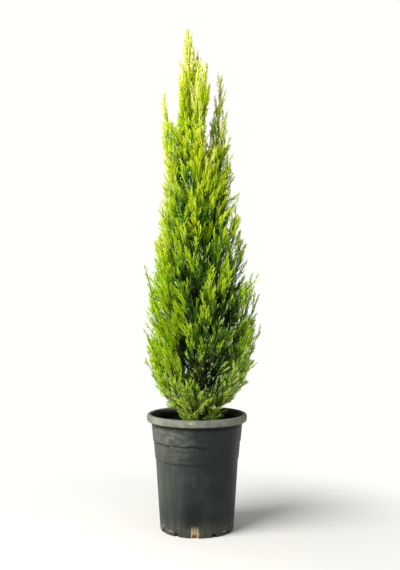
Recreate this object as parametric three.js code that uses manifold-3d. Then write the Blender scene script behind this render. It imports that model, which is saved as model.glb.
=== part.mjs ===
// Lemon cypress sapling in a round nursery pot: pot, potting soil, a slender trunk that leans a little,
// boughs that leave it in tiers and turn upright, and a pointed plume of foliage on every bough.
// Millimetres, +Z up. The origin is the middle of the pot's flat underside, and -Y is the front.
import * as THREE from "three";
import { mergeVertices } from "three/addons/utils/BufferGeometryUtils.js";
import Module from "manifold-3d";

const wasm = await Module();
wasm.setup();

// Pot: [height, radius] stations of the outer wall, which flares upwards in two shallow stacking steps
const POT_HEIGHT = 276;
const POT_SIDES = 36;
const WALL_THICKNESS = 2;
const FOOT_RADIUS = 84.5;
const WALL_STATIONS = [
  [3.5, 87.7],
  [164, 98.2],
  [166.5, 99.8],
  [211, 103.6],
  [213.5, 105.2],
  [272, 110.6],
];
const RIM_RADIUS = 120;
const RIM_DEPTH = 18;
const RIM_ROUND = 4;
const DRAIN_NOTCHES = 12;
const DRAIN_WIDTH = 9;
const DRAIN_HEIGHT = 6;
const DRAIN_DEPTH = 8;
const DRAIN_TURN = THREE.MathUtils.degToRad(-3);

// Soil and the clearance that every piece keeps to the one it rests on or grows from
const SOIL_TOP = 240;
const CLEARANCE = 0.3;

// Trunk: its line from the soil to the top of the crown, which sways to +X and then leans to -X. Its four
// controls stand at even heights, so that height runs evenly along the line
const CROWN_TOP = 1196;
const TRUNK_CONTROLS_X = [0, 20, -2, -22];
const TRUNK_FOOT_RADIUS = 9;
const TRUNK_TIP_RADIUS = 2.4;
const TRUNK_FLARE = 6;
const FLARE_HEIGHT = 12;
const TRUNK_SHARE = 0.77;
const TRUNK_SIDES = 8;
const TRUNK_RINGS = 10;
const TRUNK_SUNK = 0.004;

// Crown: the outline that no foliage passes, as [height, distance from the trunk's line] stations
const CROWN_STATIONS = [
  [250, 50],
  [300, 88],
  [360, 126],
  [430, 146],
  [480, 154],
  [550, 150],
  [630, 140],
  [700, 124],
  [800, 112],
  [900, 92],
  [1030, 82],
  [1085, 74],
  [1110, 62],
  [1155, 50],
  [CROWN_TOP, 12],
];

// Tiers of boughs, which stand evenly round the trunk: height of the first foot and the climb from one
// foot to the next, direction of the first bough in degrees from +X, and for each bough the height of its
// plume's tip and how far that stands from the trunk's line
const TIERS = [
  {
    name: "skirt",
    foot: 250,
    climb: 4,
    turn: 15,
    tips: [[425, 134], [372, 114], [384, 118], [408, 132], [352, 108], [380, 122]],
  },
  {
    name: "lower",
    foot: 276,
    climb: 8,
    turn: -10,
    tips: [[473, 143], [500, 126], [470, 128], [473, 141], [515, 128]],
  },
  { name: "middle", foot: 326, climb: 15, turn: 12, tips: [[550, 141], [600, 118], [629, 134], [590, 120]] },
  { name: "upper", foot: 400, climb: 24, turn: -25, tips: [[797, 106], [760, 96], [790, 99], [775, 96]] },
  { name: "spire", foot: 520, climb: 32, turn: 10, tips: [[1080, 66], [992, 70], [1030, 69], [1004, 66]] },
  { name: "crest", foot: 690, climb: 34, turn: -40, tips: [[1107, 57], [1152, 47], [1080, 50], [1050, 46]] },
];

// Bough: a tapering limb that ends where it enters its plume
const BOUGH_SHARE = 0.17;
const BOUGH_TO_TRUNK = 0.5;
const BOUGH_MOST_RADIUS = 3.8;
const BOUGH_TAPER = 0.55;
const BOUGH_SPREAD = { out: 0.6, up: 0.26 };
const BOUGH_UPRIGHT = { out: 0.24, up: 0.4 };
const BOUGH_SIDES = 5;
const BOUGH_RINGS = 2;

// Plume: a stem that swells to a flame-shaped core, with sprays set round it by the golden angle
const STEM_RADIUS = 1.5;
const CORE_SIDES = 5;
const CORE_MOST = 36;
const CORE_FILL = 0.66;
const CORE_PROFILE = [[0, 0], [0.08, 0.4], [0.24, 0.9], [0.44, 1], [0.66, 0.75], [0.86, 0.36], [1, 0.006]];
const SPRAY_ROOT = 0.5;
const SPRAY_SPACING = 37;
const FEWEST_SPRAYS = 6;
const SPRAY_TO_PLUME = 0.42;
const SPRAY_LONGEST = 84;
const SPRAY_SPREAD = { low: 40, high: 20 };
const SPRAY_LIFT = 0.2;
const SPRAY_SHORTER = [1, 0.85, 0.7, 0.57, 0.45];
const SPRAY_SWINGS = [0, 0.6, -0.6];

// Spray: a slim twig with tiers of needle sprigs that stand up and out of it
const SPRAY_SIDES = 3;
const SPRAY_FLATNESS = 0.7;
const TWIG_TO_SPRAY = 0.05;
const SPRIG_TIERS = 3;
const SPRIG_FIRST = 0.24;
const SPRIG_LAST = 0.72;
const SPRIG_REACH = { low: 0.3, high: 0.14 };
const SPRIG_RISE = 0.22;
const SPRIG_THICKNESS = 0.1;
const PLUME_FINENESS = 0.5;
const SPACE_MARGIN = 1.2;
const AXIS_SAMPLES = 72;
const SEED = 20;

const GOLDEN_ANGLE = Math.PI * (3 - Math.sqrt(5));
const UP = new THREE.Vector3(0, 0, 1);
const LATHE_AXIS = new THREE.Vector3(0, 1, 0);

const potPlastic = new THREE.MeshStandardMaterial({ color: 0x343a39, roughness: 0.5 });
const pottingSoil = new THREE.MeshStandardMaterial({ color: 0x2a1f17, roughness: 0.95 });
const bark = new THREE.MeshStandardMaterial({ color: 0x6f4a33, roughness: 0.85 });
const foliage = new THREE.MeshStandardMaterial({ color: 0x9cc322, roughness: 0.6 });

/** A repeatable stream of numbers from 0 to 1. */
function seededNumbers(seed) {
  let state = seed >>> 0;
  return () => {
    state = (state + 0x6d2b79f5) >>> 0;
    let mixed = Math.imul(state ^ (state >>> 15), state | 1);
    mixed ^= mixed + Math.imul(mixed ^ (mixed >>> 7), mixed | 61);
    return ((mixed ^ (mixed >>> 14)) >>> 0) / 4294967296;
  };
}

/** The value at a position, read along straight lines between [position, value] stations. */
function valueAt(stations, position) {
  const upper = stations.findIndex(([place]) => place >= position);
  if (upper < 0) return stations.at(-1)[1];
  if (upper === 0) return stations[0][1];
  const [[below, low], [above, high]] = stations.slice(upper - 1, upper + 1);
  return THREE.MathUtils.mapLinear(position, below, above, low, high);
}

/** A closed three.js geometry as a solid that can be joined and cut. */
function solidOf(geometry) {
  const bare = new THREE.BufferGeometry();
  bare.setAttribute("position", geometry.getAttribute("position"));
  bare.setIndex(geometry.index);
  const merged = mergeVertices(bare, 1e-4);
  const corners = [];
  for (let i = 0; i < merged.index.count; i += 3) {
    const [a, b, c] = merged.index.array.slice(i, i + 3);
    if (a !== b && b !== c && c !== a) corners.push(a, b, c);
  }
  const vertProperties = merged.getAttribute("position").array;
  const triVerts = new Uint32Array(corners);
  return new wasm.Manifold(new wasm.Mesh({ numProp: 3, vertProperties, triVerts }));
}

/** The largest body of a solid as a geometry: loose scraps are dropped and sealed hollows filled. */
function geometryOf(solid) {
  const bodies = solid.decompose().sort((a, b) => b.volume() - a.volume());
  const { vertProperties, triVerts } = bodies[0].getMesh();
  const geometry = new THREE.BufferGeometry();
  geometry.setAttribute("position", new THREE.BufferAttribute(vertProperties, 3));
  geometry.setIndex(new THREE.BufferAttribute(triVerts, 1));
  geometry.computeVertexNormals();
  return geometry;
}

/** A solid of revolution about +Z from [radius, height] points that run anticlockwise round its section. */
function turned(points, sides) {
  const profile = points.map(([radius, z]) => new THREE.Vector2(radius, z));
  return new THREE.LatheGeometry(profile, sides).rotateX(Math.PI / 2);
}

/**
 * A closed limb: a turned taper of [share, radius] rings, bent along a curve that lies in one plane.
 * `fit` may give a corner another radius than its ring's, from its place, its side and its share.
 */
function limb(curve, planeNormal, rings, sides, fit = (place, side, share, radius) => radius) {
  const ends = [rings[0][0], rings.at(-1)[0]].map((share) => [0, share]);
  const section = [ends[0], ...rings.map(([share, radius]) => [radius, share]), ends[1]];
  const profile = section.map(([radius, share]) => new THREE.Vector2(radius, share));
  const geometry = new THREE.LatheGeometry(profile, sides);
  const position = geometry.getAttribute("position");
  for (let i = 0; i < position.count; i += 1) {
    const share = position.getY(i);
    const place = curve.getPoint(share);
    const inPlane = new THREE.Vector3().crossVectors(planeNormal, curve.getTangent(share));
    const side = planeNormal.clone().multiplyScalar(position.getX(i));
    side.addScaledVector(inPlane, position.getZ(i));
    const radius = side.length();
    if (radius > 0) place.addScaledVector(side.normalize(), fit(place, side, share, radius));
    position.setXYZ(i, place.x, place.y, place.z);
  }
  return geometry;
}

/** A feathery spray along +Y: the section zigzags from the twig to each tier of sprig tips and back. */
function sprayShape(length) {
  const twig = TWIG_TO_SPRAY * length;
  const profile = [new THREE.Vector2(0, 0)];
  for (let i = 0; i < SPRIG_TIERS; i += 1) {
    const up = i / (SPRIG_TIERS - 1);
    const place = THREE.MathUtils.lerp(SPRIG_FIRST, SPRIG_LAST, up);
    const reach = THREE.MathUtils.lerp(SPRIG_REACH.low, SPRIG_REACH.high, up);
    profile.push(new THREE.Vector2(reach * length, (place + SPRIG_RISE) * length));
    profile.push(new THREE.Vector2(twig * (1 - 0.6 * up), (place + SPRIG_THICKNESS) * length));
  }
  profile.push(new THREE.Vector2(0, length));
  return new THREE.LatheGeometry(profile, SPRAY_SIDES).scale(1, 1, SPRAY_FLATNESS);
}

/** The direction that stands at `spread` from `along`, turned round it by `turn`, and lifted a little. */
function splay(along, spread, turn, lift) {
  const across = new THREE.Vector3().crossVectors(UP, along);
  if (across.lengthSq() < 1e-6) across.set(1, 0, 0);
  across.normalize().applyAxisAngle(along, turn);
  const direction = along.clone().multiplyScalar(Math.cos(spread));
  direction.addScaledVector(across, Math.sin(spread)).addScaledVector(UP, lift);
  return direction.normalize();
}

function named(name, geometry, material) {
  const mesh = new THREE.Mesh(geometry, material);
  mesh.name = name;
  return mesh;
}

/** The wall's inside, which passes each stacking step in one slope, as [radius, height] points from below. */
function innerWall(inset, floor) {
  const kept = WALL_STATIONS.filter((station, i) => i % 2 === 1 || i === 0);
  return kept.map(([z, radius]) => [radius - inset, Math.max(z, floor)]);
}

/** The pot: a flared cup with a rim that rolls over into an open-bottomed collar, and notches to drain it. */
function makePot() {
  const floor = WALL_THICKNESS + 1;
  const lip = RIM_RADIUS - WALL_THICKNESS;
  const outside = WALL_STATIONS.map(([z, radius]) => [radius, z]);
  const [wallTop, wallTopRadius] = WALL_STATIONS.at(-1);
  const inside = innerWall(WALL_THICKNESS, floor);
  const underRim = POT_HEIGHT - RIM_DEPTH;
  const collar = [
    [lip, wallTop],
    [lip, underRim],
    [RIM_RADIUS, underRim],
    [RIM_RADIUS, POT_HEIGHT - RIM_ROUND - 1],
    [RIM_RADIUS - RIM_ROUND * 0.4, POT_HEIGHT - RIM_ROUND * 0.3],
    [RIM_RADIUS - RIM_ROUND * 1.4, POT_HEIGHT],
    [wallTopRadius, POT_HEIGHT - 0.6],
  ];
  const section = [[0, 0], [FOOT_RADIUS, 0], ...outside, ...collar, ...inside.reverse(), [0, floor]];
  let pot = solidOf(turned(section, POT_SIDES));
  for (let i = 0; i < DRAIN_NOTCHES; i += 1) {
    const notch = new THREE.BoxGeometry(DRAIN_WIDTH, 2 * DRAIN_DEPTH, 2 * DRAIN_HEIGHT);
    notch.translate(0, -WALL_STATIONS[0][1], 0);
    notch.rotateZ(DRAIN_TURN + (i * 2 * Math.PI) / DRAIN_NOTCHES);
    pot = pot.subtract(solidOf(notch));
  }
  return named("pot", geometryOf(pot), potPlastic);
}

/** The soil: it fills the pot to a flat surface below the rim. */
function makeSoil() {
  const inset = WALL_THICKNESS + CLEARANCE;
  const floor = WALL_THICKNESS + 1 + CLEARANCE;
  const wall = innerWall(inset, floor);
  const below = wall.filter(([, z]) => z < SOIL_TOP);
  const edge = valueAt(wall.map(([radius, z]) => [z, radius]), SOIL_TOP);
  const section = [[0, floor], ...below, [edge, SOIL_TOP], [0, SOIL_TOP]];
  const geometry = turned(section, POT_SIDES);
  return named("soil", geometry, pottingSoil);
}

/** The trunk's line, in the plane of X and Z, from the soil to the top of the crown. */
function trunkLine() {
  const foot = SOIL_TOP + CLEARANCE;
  const controls = TRUNK_CONTROLS_X.map(
    (x, i) => new THREE.Vector3(x, 0, THREE.MathUtils.lerp(foot, CROWN_TOP, i / 3)),
  );
  return new THREE.CubicBezierCurve3(...controls);
}

/** The share of the trunk's line at a height. */
function trunkShare(z) {
  return THREE.MathUtils.inverseLerp(SOIL_TOP + CLEARANCE, CROWN_TOP, z);
}

/** The trunk's radius at a share of its line: an even taper and a flare at the foot. */
function trunkRadius(share, extra = 0) {
  const rise = share * (CROWN_TOP - SOIL_TOP);
  const taper = THREE.MathUtils.lerp(TRUNK_FOOT_RADIUS, TRUNK_TIP_RADIUS, share / TRUNK_SHARE);
  return taper + TRUNK_FLARE * Math.exp(-rise / FLARE_HEIGHT) + extra;
}

/** The trunk as a limb, cut level at the soil, to where it enters the leading plume, `extra` wider. */
function trunkLimb(line, extra) {
  const rings = [[-TRUNK_SUNK, trunkRadius(-TRUNK_SUNK, extra)]];
  for (let i = 0; i <= TRUNK_RINGS; i += 1) {
    const share = TRUNK_SUNK + (TRUNK_SHARE - TRUNK_SUNK) * (i / TRUNK_RINGS) ** 1.6;
    rings.push([share, trunkRadius(share, extra)]);
  }
  const whole = solidOf(limb(line, new THREE.Vector3(0, -1, 0), rings, TRUNK_SIDES));
  return whole.trimByPlane([0, 0, 1], SOIL_TOP + CLEARANCE);
}

/** A bough's line: out of the trunk, then upright, to a tip that stands `reach` from the trunk's line. */
function boughLine(trunk, footZ, tipZ, reach, azimuth) {
  const out = new THREE.Vector3(Math.cos(azimuth), Math.sin(azimuth), 0);
  const foot = trunk.getPoint(trunkShare(footZ));
  const tip = trunk.getPoint(trunkShare(tipZ)).addScaledVector(out, reach);
  const rise = tipZ - footZ;
  const spread = foot.clone().addScaledVector(out, BOUGH_SPREAD.out * reach);
  spread.addScaledVector(UP, BOUGH_SPREAD.up * rise);
  const upright = tip.clone().addScaledVector(out, -BOUGH_UPRIGHT.out * reach);
  upright.addScaledVector(UP, -BOUGH_UPRIGHT.up * rise);
  return new THREE.CubicBezierCurve3(foot, spread, upright, tip);
}

/** Every plume's axis: the boughs of each tier in turn, and the trunk's own top. */
function crownAxes(trunk) {
  const axes = [];
  for (const { name, foot, climb, turn, tips } of TIERS) {
    tips.forEach(([tipZ, reach], i) => {
      const azimuth = THREE.MathUtils.degToRad(turn + (360 * i) / tips.length);
      const footZ = foot + climb * i;
      const line = boughLine(trunk, footZ, tipZ, reach, azimuth);
      const planeNormal = new THREE.Vector3(-Math.sin(azimuth), Math.cos(azimuth), 0);
      const limbRadius = Math.min(BOUGH_MOST_RADIUS, BOUGH_TO_TRUNK * trunkRadius(trunkShare(footZ)));
      axes.push({ name, number: i + 1, line, planeNormal, limbRadius, start: BOUGH_SHARE });
    });
  }
  const planeNormal = new THREE.Vector3(0, -1, 0);
  axes.push({ name: "leader", number: 1, line: trunk, planeNormal, start: TRUNK_SHARE });
  for (const axis of axes) axis.samples = axis.line.getPoints(AXIS_SAMPLES);
  return axes;
}

/** A bough: a tapering limb cut clear of the trunk that it grows from. */
function makeBough(axis, clearTrunk) {
  const rings = [];
  for (let i = 0; i <= BOUGH_RINGS; i += 1) {
    const share = i / BOUGH_RINGS;
    rings.push([BOUGH_SHARE * share, axis.limbRadius * THREE.MathUtils.lerp(1, BOUGH_TAPER, share)]);
  }
  const whole = solidOf(limb(axis.line, axis.planeNormal, rings, BOUGH_SIDES));
  return named(`${axis.name}_bough_${axis.number}`, geometryOf(whole.subtract(clearTrunk)), bark);
}

/** The distance from a point to the nearest sample of an axis. */
function distanceTo(axis, point) {
  let least = Infinity;
  for (const sample of axis.samples) least = Math.min(least, sample.distanceToSquared(point));
  return Math.sqrt(least);
}

/** Whether a point is above the soil, inside the crown's outline and nearer its own axis than any other. */
function isInSpace(point, own, axes) {
  if (point.z < SOIL_TOP + SPACE_MARGIN || point.z > CROWN_TOP) return false;
  const middle = axes.at(-1).line.getPoint(trunkShare(point.z));
  if (middle.distanceTo(point) > valueAt(CROWN_STATIONS, point.z)) return false;
  const limit = distanceTo(own, point) + SPACE_MARGIN;
  return axes.every((axis) => axis === own || distanceTo(axis, point) > limit);
}

/** Whether every corner of a geometry keeps to the space of its own axis. */
function keepsToSpace(geometry, own, axes) {
  const position = geometry.getAttribute("position");
  const point = new THREE.Vector3();
  for (let i = 0; i < position.count; i += 1) {
    if (!isInSpace(point.fromBufferAttribute(position, i), own, axes)) return false;
  }
  return true;
}

/** How thick the core is on one side of a place that lies `along` its axis. */
function coreReach(axis, axes, along, place, side) {
  let room = CORE_MOST * valueAt(CORE_PROFILE, along);
  const point = new THREE.Vector3();
  while (room > 0 && !isInSpace(point.copy(place).addScaledVector(side, room), axis, axes)) room -= 1;
  return CORE_FILL * Math.max(0, room);
}

/** The stem of a plume with its core, which fills the heart of the plume's space. */
function makeCore(axis, axes) {
  const first = axis.start + CLEARANCE / axis.line.getLength();
  const rings = CORE_PROFILE.map(([along]) => [THREE.MathUtils.lerp(first, 1, along), 1]);
  const fit = (place, side, share) => {
    const along = THREE.MathUtils.inverseLerp(first, 1, share);
    const least = STEM_RADIUS * (1 - 0.9 * along);
    return Math.max(least, coreReach(axis, axes, along, place, side));
  };
  return limb(axis.line, axis.planeNormal, rings, CORE_SIDES, fit);
}

/** A spray of a length, set on one side of the core and sunk into it. */
function placeSpray(axis, axes, along, turn, length) {
  const share = THREE.MathUtils.lerp(axis.start, 1, along);
  const tangent = axis.line.getTangent(share);
  const root = axis.line.getPoint(share);
  const side = splay(tangent, Math.PI / 2, turn, 0);
  root.addScaledVector(side, SPRAY_ROOT * coreReach(axis, axes, along, root, side));
  const spread = THREE.MathUtils.lerp(SPRAY_SPREAD.low, SPRAY_SPREAD.high, along);
  const direction = splay(tangent, THREE.MathUtils.degToRad(spread), turn, SPRAY_LIFT);
  const turnToDirection = new THREE.Quaternion().setFromUnitVectors(LATHE_AXIS, direction);
  const spray = sprayShape(length).rotateY(turn).applyQuaternion(turnToDirection);
  return spray.translate(root.x, root.y, root.z);
}

/** The longest spray that keeps to the plume's space at or near a turn, or nothing. */
function makeSpray(axis, axes, along, turn, wanted) {
  for (const part of SPRAY_SHORTER) {
    for (const swing of SPRAY_SWINGS) {
      const spray = placeSpray(axis, axes, along, turn + swing, part * wanted);
      if (keepsToSpace(spray, axis, axes)) return [spray];
    }
  }
  return [];
}

/** A plume: the stem and core with all its sprays fused on. */
function makePlume(axis, axes, random) {
  const plumeLength = (1 - axis.start) * axis.line.getLength();
  const longest = Math.min(SPRAY_LONGEST, SPRAY_TO_PLUME * plumeLength);
  const pieces = [makeCore(axis, axes)];
  const firstTurn = 2 * Math.PI * random();
  const sprays = Math.max(FEWEST_SPRAYS, Math.round(plumeLength / SPRAY_SPACING));
  for (let i = 0; i < sprays; i += 1) {
    const along = 0.06 + (0.8 * i) / (sprays - 1);
    const wanted = longest * (1 - 0.4 * along) * (0.9 + 0.2 * random());
    pieces.push(...makeSpray(axis, axes, along, firstTurn + i * GOLDEN_ANGLE, wanted));
  }
  const fused = wasm.Manifold.union(pieces.map(solidOf));
  return named(`${axis.name}_plume_${axis.number}`, geometryOf(fused.simplify(PLUME_FINENESS)), foliage);
}

/** The whole sapling in its pot. */
function makeSapling() {
  const random = seededNumbers(SEED);
  const trunk = trunkLine();
  const clearTrunk = trunkLimb(trunk, CLEARANCE);
  const axes = crownAxes(trunk);
  const sapling = new THREE.Group();
  sapling.add(makePot(), makeSoil(), named("trunk", geometryOf(trunkLimb(trunk, 0)), bark));
  for (const axis of axes) {
    if (axis.limbRadius) sapling.add(makeBough(axis, clearTrunk));
    sapling.add(makePlume(axis, axes, random));
  }
  return sapling;
}

export default makeSapling();
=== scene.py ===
"""A lemon cypress sapling in its nursery pot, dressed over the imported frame.

The pot, the soil, the trunk and the boughs are surfaces worked out on grids. The crown grows on from the
boughs by the rule of the solids, carried on to shoots, twiglets and needles. Sizes are in metres, +Z is up.
"""
import logging
from collections.abc import Callable, Iterable, Mapping, Sequence
from dataclasses import dataclass, fields, replace
from enum import Enum
from typing import Union

import bpy
import numpy as np
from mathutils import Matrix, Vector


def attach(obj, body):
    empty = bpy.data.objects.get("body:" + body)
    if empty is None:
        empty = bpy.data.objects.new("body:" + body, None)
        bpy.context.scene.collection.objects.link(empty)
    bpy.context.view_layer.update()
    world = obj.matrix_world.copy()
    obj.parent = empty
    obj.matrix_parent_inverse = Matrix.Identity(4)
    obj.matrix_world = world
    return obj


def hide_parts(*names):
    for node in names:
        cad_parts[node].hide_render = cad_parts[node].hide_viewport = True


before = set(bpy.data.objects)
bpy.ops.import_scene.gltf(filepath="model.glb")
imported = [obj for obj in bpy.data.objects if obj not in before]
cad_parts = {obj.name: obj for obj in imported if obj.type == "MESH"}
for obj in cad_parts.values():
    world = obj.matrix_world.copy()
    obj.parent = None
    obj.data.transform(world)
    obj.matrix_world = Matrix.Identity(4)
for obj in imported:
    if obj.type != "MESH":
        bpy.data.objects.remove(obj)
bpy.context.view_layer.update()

BODY = "root"
SEED = 20
CROWN_SEED = 1
FULL_TURN = 2.0 * np.pi
GOLDEN_ANGLE = np.pi * (3.0 - np.sqrt(5.0))
UP = np.array([0.0, 0.0, 1.0])
MOST_TRIANGLES = 190_000
NEAR_X = 0.8
CHORDS = 40
RISE_ALONG_STALK = 0.4

Array = np.ndarray
Number = Union[float, Array]
Range = tuple[float, float]
Place = tuple[float, float, float]
Colour = tuple[float, float, float]
Rng = np.random.Generator
Finish = bpy.types.Material
Piece = bpy.types.Object
log = logging.getLogger("sapling")


class Slot(Enum):
    """The record's material slots."""

    POT = "pot_plastic"
    SOIL = "potting_soil"
    BARK = "bark"
    FOLIAGE = "foliage"


class Tint(Enum):
    """The needles' colours, from the shaded heart of the crown to its palest tips, and two rarer ones. The
    darkest are partly painted shade, and the frosty one is pale glaucous green that also stands as painted
    glints.
    """

    SHADE = (0.009, 0.026, 0.008)
    DEEP = (0.039, 0.115, 0.017)
    MOSS = (0.112, 0.268, 0.022)
    LEAF = (0.252, 0.470, 0.016)
    LIME = (0.485, 0.695, 0.012)
    GOLD = (0.680, 0.790, 0.022)
    PALE = (0.805, 0.835, 0.200)
    STRAW = (0.150, 0.120, 0.040)
    # Pale glaucous green, which also stands as painted glints on shaded sprays.
    FROST_GLINT = (0.650, 0.790, 0.270)

    @property
    def number(self) -> int:
        """Its place in the order above."""
        return list(Tint).index(self)

    def build(self) -> Finish:
        """The tint's material."""
        name = f"needle_{self.name.lower()}"
        return PlainFinish(name, self.value, roughness=0.6, specular=0.07).build()


def unit(vectors: Array) -> Array:
    """Each vector divided by its own length."""
    return vectors / np.linalg.norm(vectors, axis=-1, keepdims=True)


def blend(first: Number, last: Number, share: Number) -> Number:
    """The value that lies `share` of the way from first to last."""
    return first + (last - first) * share


def smooth_step(low: float, high: float, values: Array) -> Array:
    """0 at low, 1 at high, flat beyond them and 3s² - 2s³ between them. Low may be the greater."""
    share = np.clip((values - low) / (high - low), 0.0, 1.0)
    return share * share * (3.0 - 2.0 * share)


def counted(counts: Array) -> tuple[Array, Array]:
    """The owner of each item, where owners have `counts` items, and its rank among that owner's."""
    owner = np.repeat(np.arange(counts.size), counts)
    return owner, np.arange(owner.size) - np.repeat(np.cumsum(counts) - counts, counts)


def even_turns(count: int) -> Array:
    """Angles that share out a full turn."""
    return np.arange(count) * FULL_TURN / count


def level(azimuths: Array) -> Array:
    """Level unit vectors at azimuths from +X."""
    return np.stack([np.cos(azimuths), np.sin(azimuths), np.zeros_like(azimuths)], axis=-1)


def around(headings: Array, turns: Array) -> Array:
    """Unit vectors square to headings.

    Args:
        headings: unit vectors, in the last axis.
        turns: angles about them, from their cross product with X, or with Z where they lie near X.

    Returns:
        One vector for each heading and turn.
    """
    lies_along_x = np.abs(headings[..., :1]) > NEAR_X
    side = unit(np.cross(headings, np.where(lies_along_x, UP, np.array([1.0, 0.0, 0.0]))))
    turns = turns[..., None]
    return np.cos(turns) * side + np.sin(turns) * np.cross(headings, side)


def leaning(headings: Array, turns: Array, spreads: Array) -> Array:
    """Directions at angles `spreads` from headings, to the sides that `turns` name."""
    spreads = spreads[..., None]
    return np.cos(spreads) * headings + np.sin(spreads) * around(headings, turns)


def noise(points: Array, grain: Number, layers: int, seed: int, size: int = 24) -> Array:
    """Smooth random numbers in space, in layers that are each half as coarse and half as strong as the last.

    A layer goes between the eight corners of a cell of a seeded lattice, by a smooth step on every axis.

    Args:
        points: places, in the last axis.
        grain: the size of a cell of the first layer, for all axes or for each.
        layers: the number of layers.
        seed: the lattice's seed.
        size: the number of its cells along each axis.

    Returns:
        One number for each point.
    """
    lattice = np.random.default_rng(seed).uniform(-1.0, 1.0, (size, size, size))
    total = np.zeros(points.shape[:-1])
    for scale in 0.5 ** np.arange(layers):
        scaled = points / (np.asarray(grain) * scale)
        cell = np.floor(scaled).astype(int)
        part = smooth_step(0.0, 1.0, scaled - cell)
        for corner in np.ndindex(2, 2, 2):
            index = np.moveaxis((cell + corner) % size, -1, 0)
            weight = np.where(np.array(corner) == 1, part, 1.0 - part).prod(axis=-1)
            total += scale * weight * lattice[tuple(index)]
    return total


@dataclass(frozen=True)
class Surface:
    """Triangles of one mesh, with the number of each triangle's finish."""

    points: Array
    faces: Array
    finishes: Array

    @classmethod
    def plain(cls, points: Array, faces: Array) -> "Surface":
        """A surface of one finish."""
        return cls(points.reshape(-1, 3), faces, np.zeros(len(faces), int))

    def joined(self, other: "Surface") -> "Surface":
        """Joins two surfaces.

        Args:
            other: the surface whose points come second.

        Returns:
            Both as one.
        """
        faces = np.concatenate([self.faces, other.faces + len(self.points)])
        finishes = np.concatenate([self.finishes, other.finishes])
        return Surface(np.concatenate([self.points, other.points]), faces, finishes)


def bands(rows: int, columns: int) -> tuple[Array, Array, Array]:
    """The triangles between rings of points.

    Args:
        rows: the number of rings.
        columns: the number of points in a ring.

    Returns:
        The triangles, the points' numbers, and the numbers of the points beside them.
    """
    here = np.arange(rows * columns).reshape(rows, columns)
    beside = np.roll(here, -1, axis=1)
    lower = np.stack([here[:-1], beside[:-1], beside[1:]], axis=-1)
    upper = np.stack([here[:-1], beside[1:], here[1:]], axis=-1)
    return np.concatenate([lower.reshape(-1, 3), upper.reshape(-1, 3)]), here, beside


def wrapped(rings: Array, first_pole: Array, last_pole: Array) -> Surface:
    """A closed skin over rings of points, each joined to the next, with a fan to a pole at both ends.

    Args:
        rings: points of shape (rings, columns, 3), the columns counter-clockwise seen from the last pole.
        first_pole: the point that closes the first ring.
        last_pole: the point that closes the last ring.

    Returns:
        The skin, its faces pointing outwards.
    """
    rows, columns = rings.shape[:2]
    sides, here, beside = bands(rows, columns)
    pole = np.full(columns, rows * columns)
    start = np.stack([pole, beside[0], here[0]], axis=-1)
    end = np.stack([pole + 1, here[-1], beside[-1]], axis=-1)
    points = np.concatenate([rings.reshape(-1, 3), [first_pole, last_pole]])
    return Surface.plain(points, np.concatenate([sides, start, end]))


def tubes(paths: Array, radii: Array, sides: int) -> Surface:
    """Many tapering stalks: a ring of points round each place of a path, and a point at its end.

    Args:
        paths: places along each stalk, of shape (stalks, places, 3).
        radii: the radius of each stalk at each place and side, where an axis of one stands for all.
        sides: the number of points in a ring.

    Returns:
        All the stalks as one surface.
    """
    stalks, places = paths.shape[:2]
    outward = around(unit(np.gradient(paths, axis=1))[:, :, None], even_turns(sides))
    rings = (paths[:, :, None] + radii[..., None] * outward)[:, :-1]
    points = np.concatenate([rings.reshape(stalks, -1, 3), paths[:, -1:]], axis=1)
    skin, here, beside = bands(places - 1, sides)
    tip = np.stack([here[-1], beside[-1], np.full(sides, here.size)], axis=-1)
    spokes = np.arange(1, sides - 1)
    foot = np.stack([np.zeros_like(spokes), spokes + 1, spokes], axis=-1)
    offsets = np.arange(stalks)[:, None, None] * points.shape[1]
    return Surface.plain(points, (np.concatenate([skin, tip, foot]) + offsets).reshape(-1, 3))


def placed(name: str, data: bpy.types.ID) -> Piece:
    """Makes an object of data and links it into the scene.

    Args:
        name: the object's name.
        data: its mesh, camera or light.

    Returns:
        The object.
    """
    made = bpy.data.objects.new(name, data)
    bpy.context.scene.collection.objects.link(made)
    return made


def make_piece(
    name: str,
    surface: Surface,
    finishes: Sequence[Finish],
    slot: Slot,
    nodes: Iterable[str] = (),
    smooth: bool = True,
) -> Piece:
    """Puts a surface into the scene as a piece of the object.

    Args:
        name: the piece's name.
        surface: its triangles.
        finishes: its materials, in the order of the surface's finish numbers.
        slot: not used.
        nodes: the CAD nodes that it stands for.
        smooth: whether its faces are shaded as one round surface.

    Returns:
        The new object, riding on the body.
    """
    mesh = bpy.data.meshes.new(name)
    mesh.vertices.add(len(surface.points))
    mesh.vertices.foreach_set("co", surface.points.astype(np.float32).ravel())
    mesh.loops.add(surface.faces.size)
    mesh.loops.foreach_set("vertex_index", surface.faces.astype(np.int32).ravel())
    mesh.polygons.add(len(surface.faces))
    mesh.polygons.foreach_set("loop_start", np.arange(0, surface.faces.size, 3, dtype=np.int32))
    for finish in finishes:
        mesh.materials.append(finish)
    mesh.polygons.foreach_set("material_index", surface.finishes.astype(np.int32))
    mesh.polygons.foreach_set("use_smooth", np.full(len(surface.faces), smooth))
    mesh.update(calc_edges=True)
    piece = placed(name, mesh)
    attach(piece, BODY)
    if nodes:
        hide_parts(*nodes)
    return piece


def operator(operation: str) -> Callable[["Term", "Term | float"], "Term"]:
    """A method of Term that adds one Math node for itself and another term."""
    return lambda term, other: term.math(operation, other)


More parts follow.
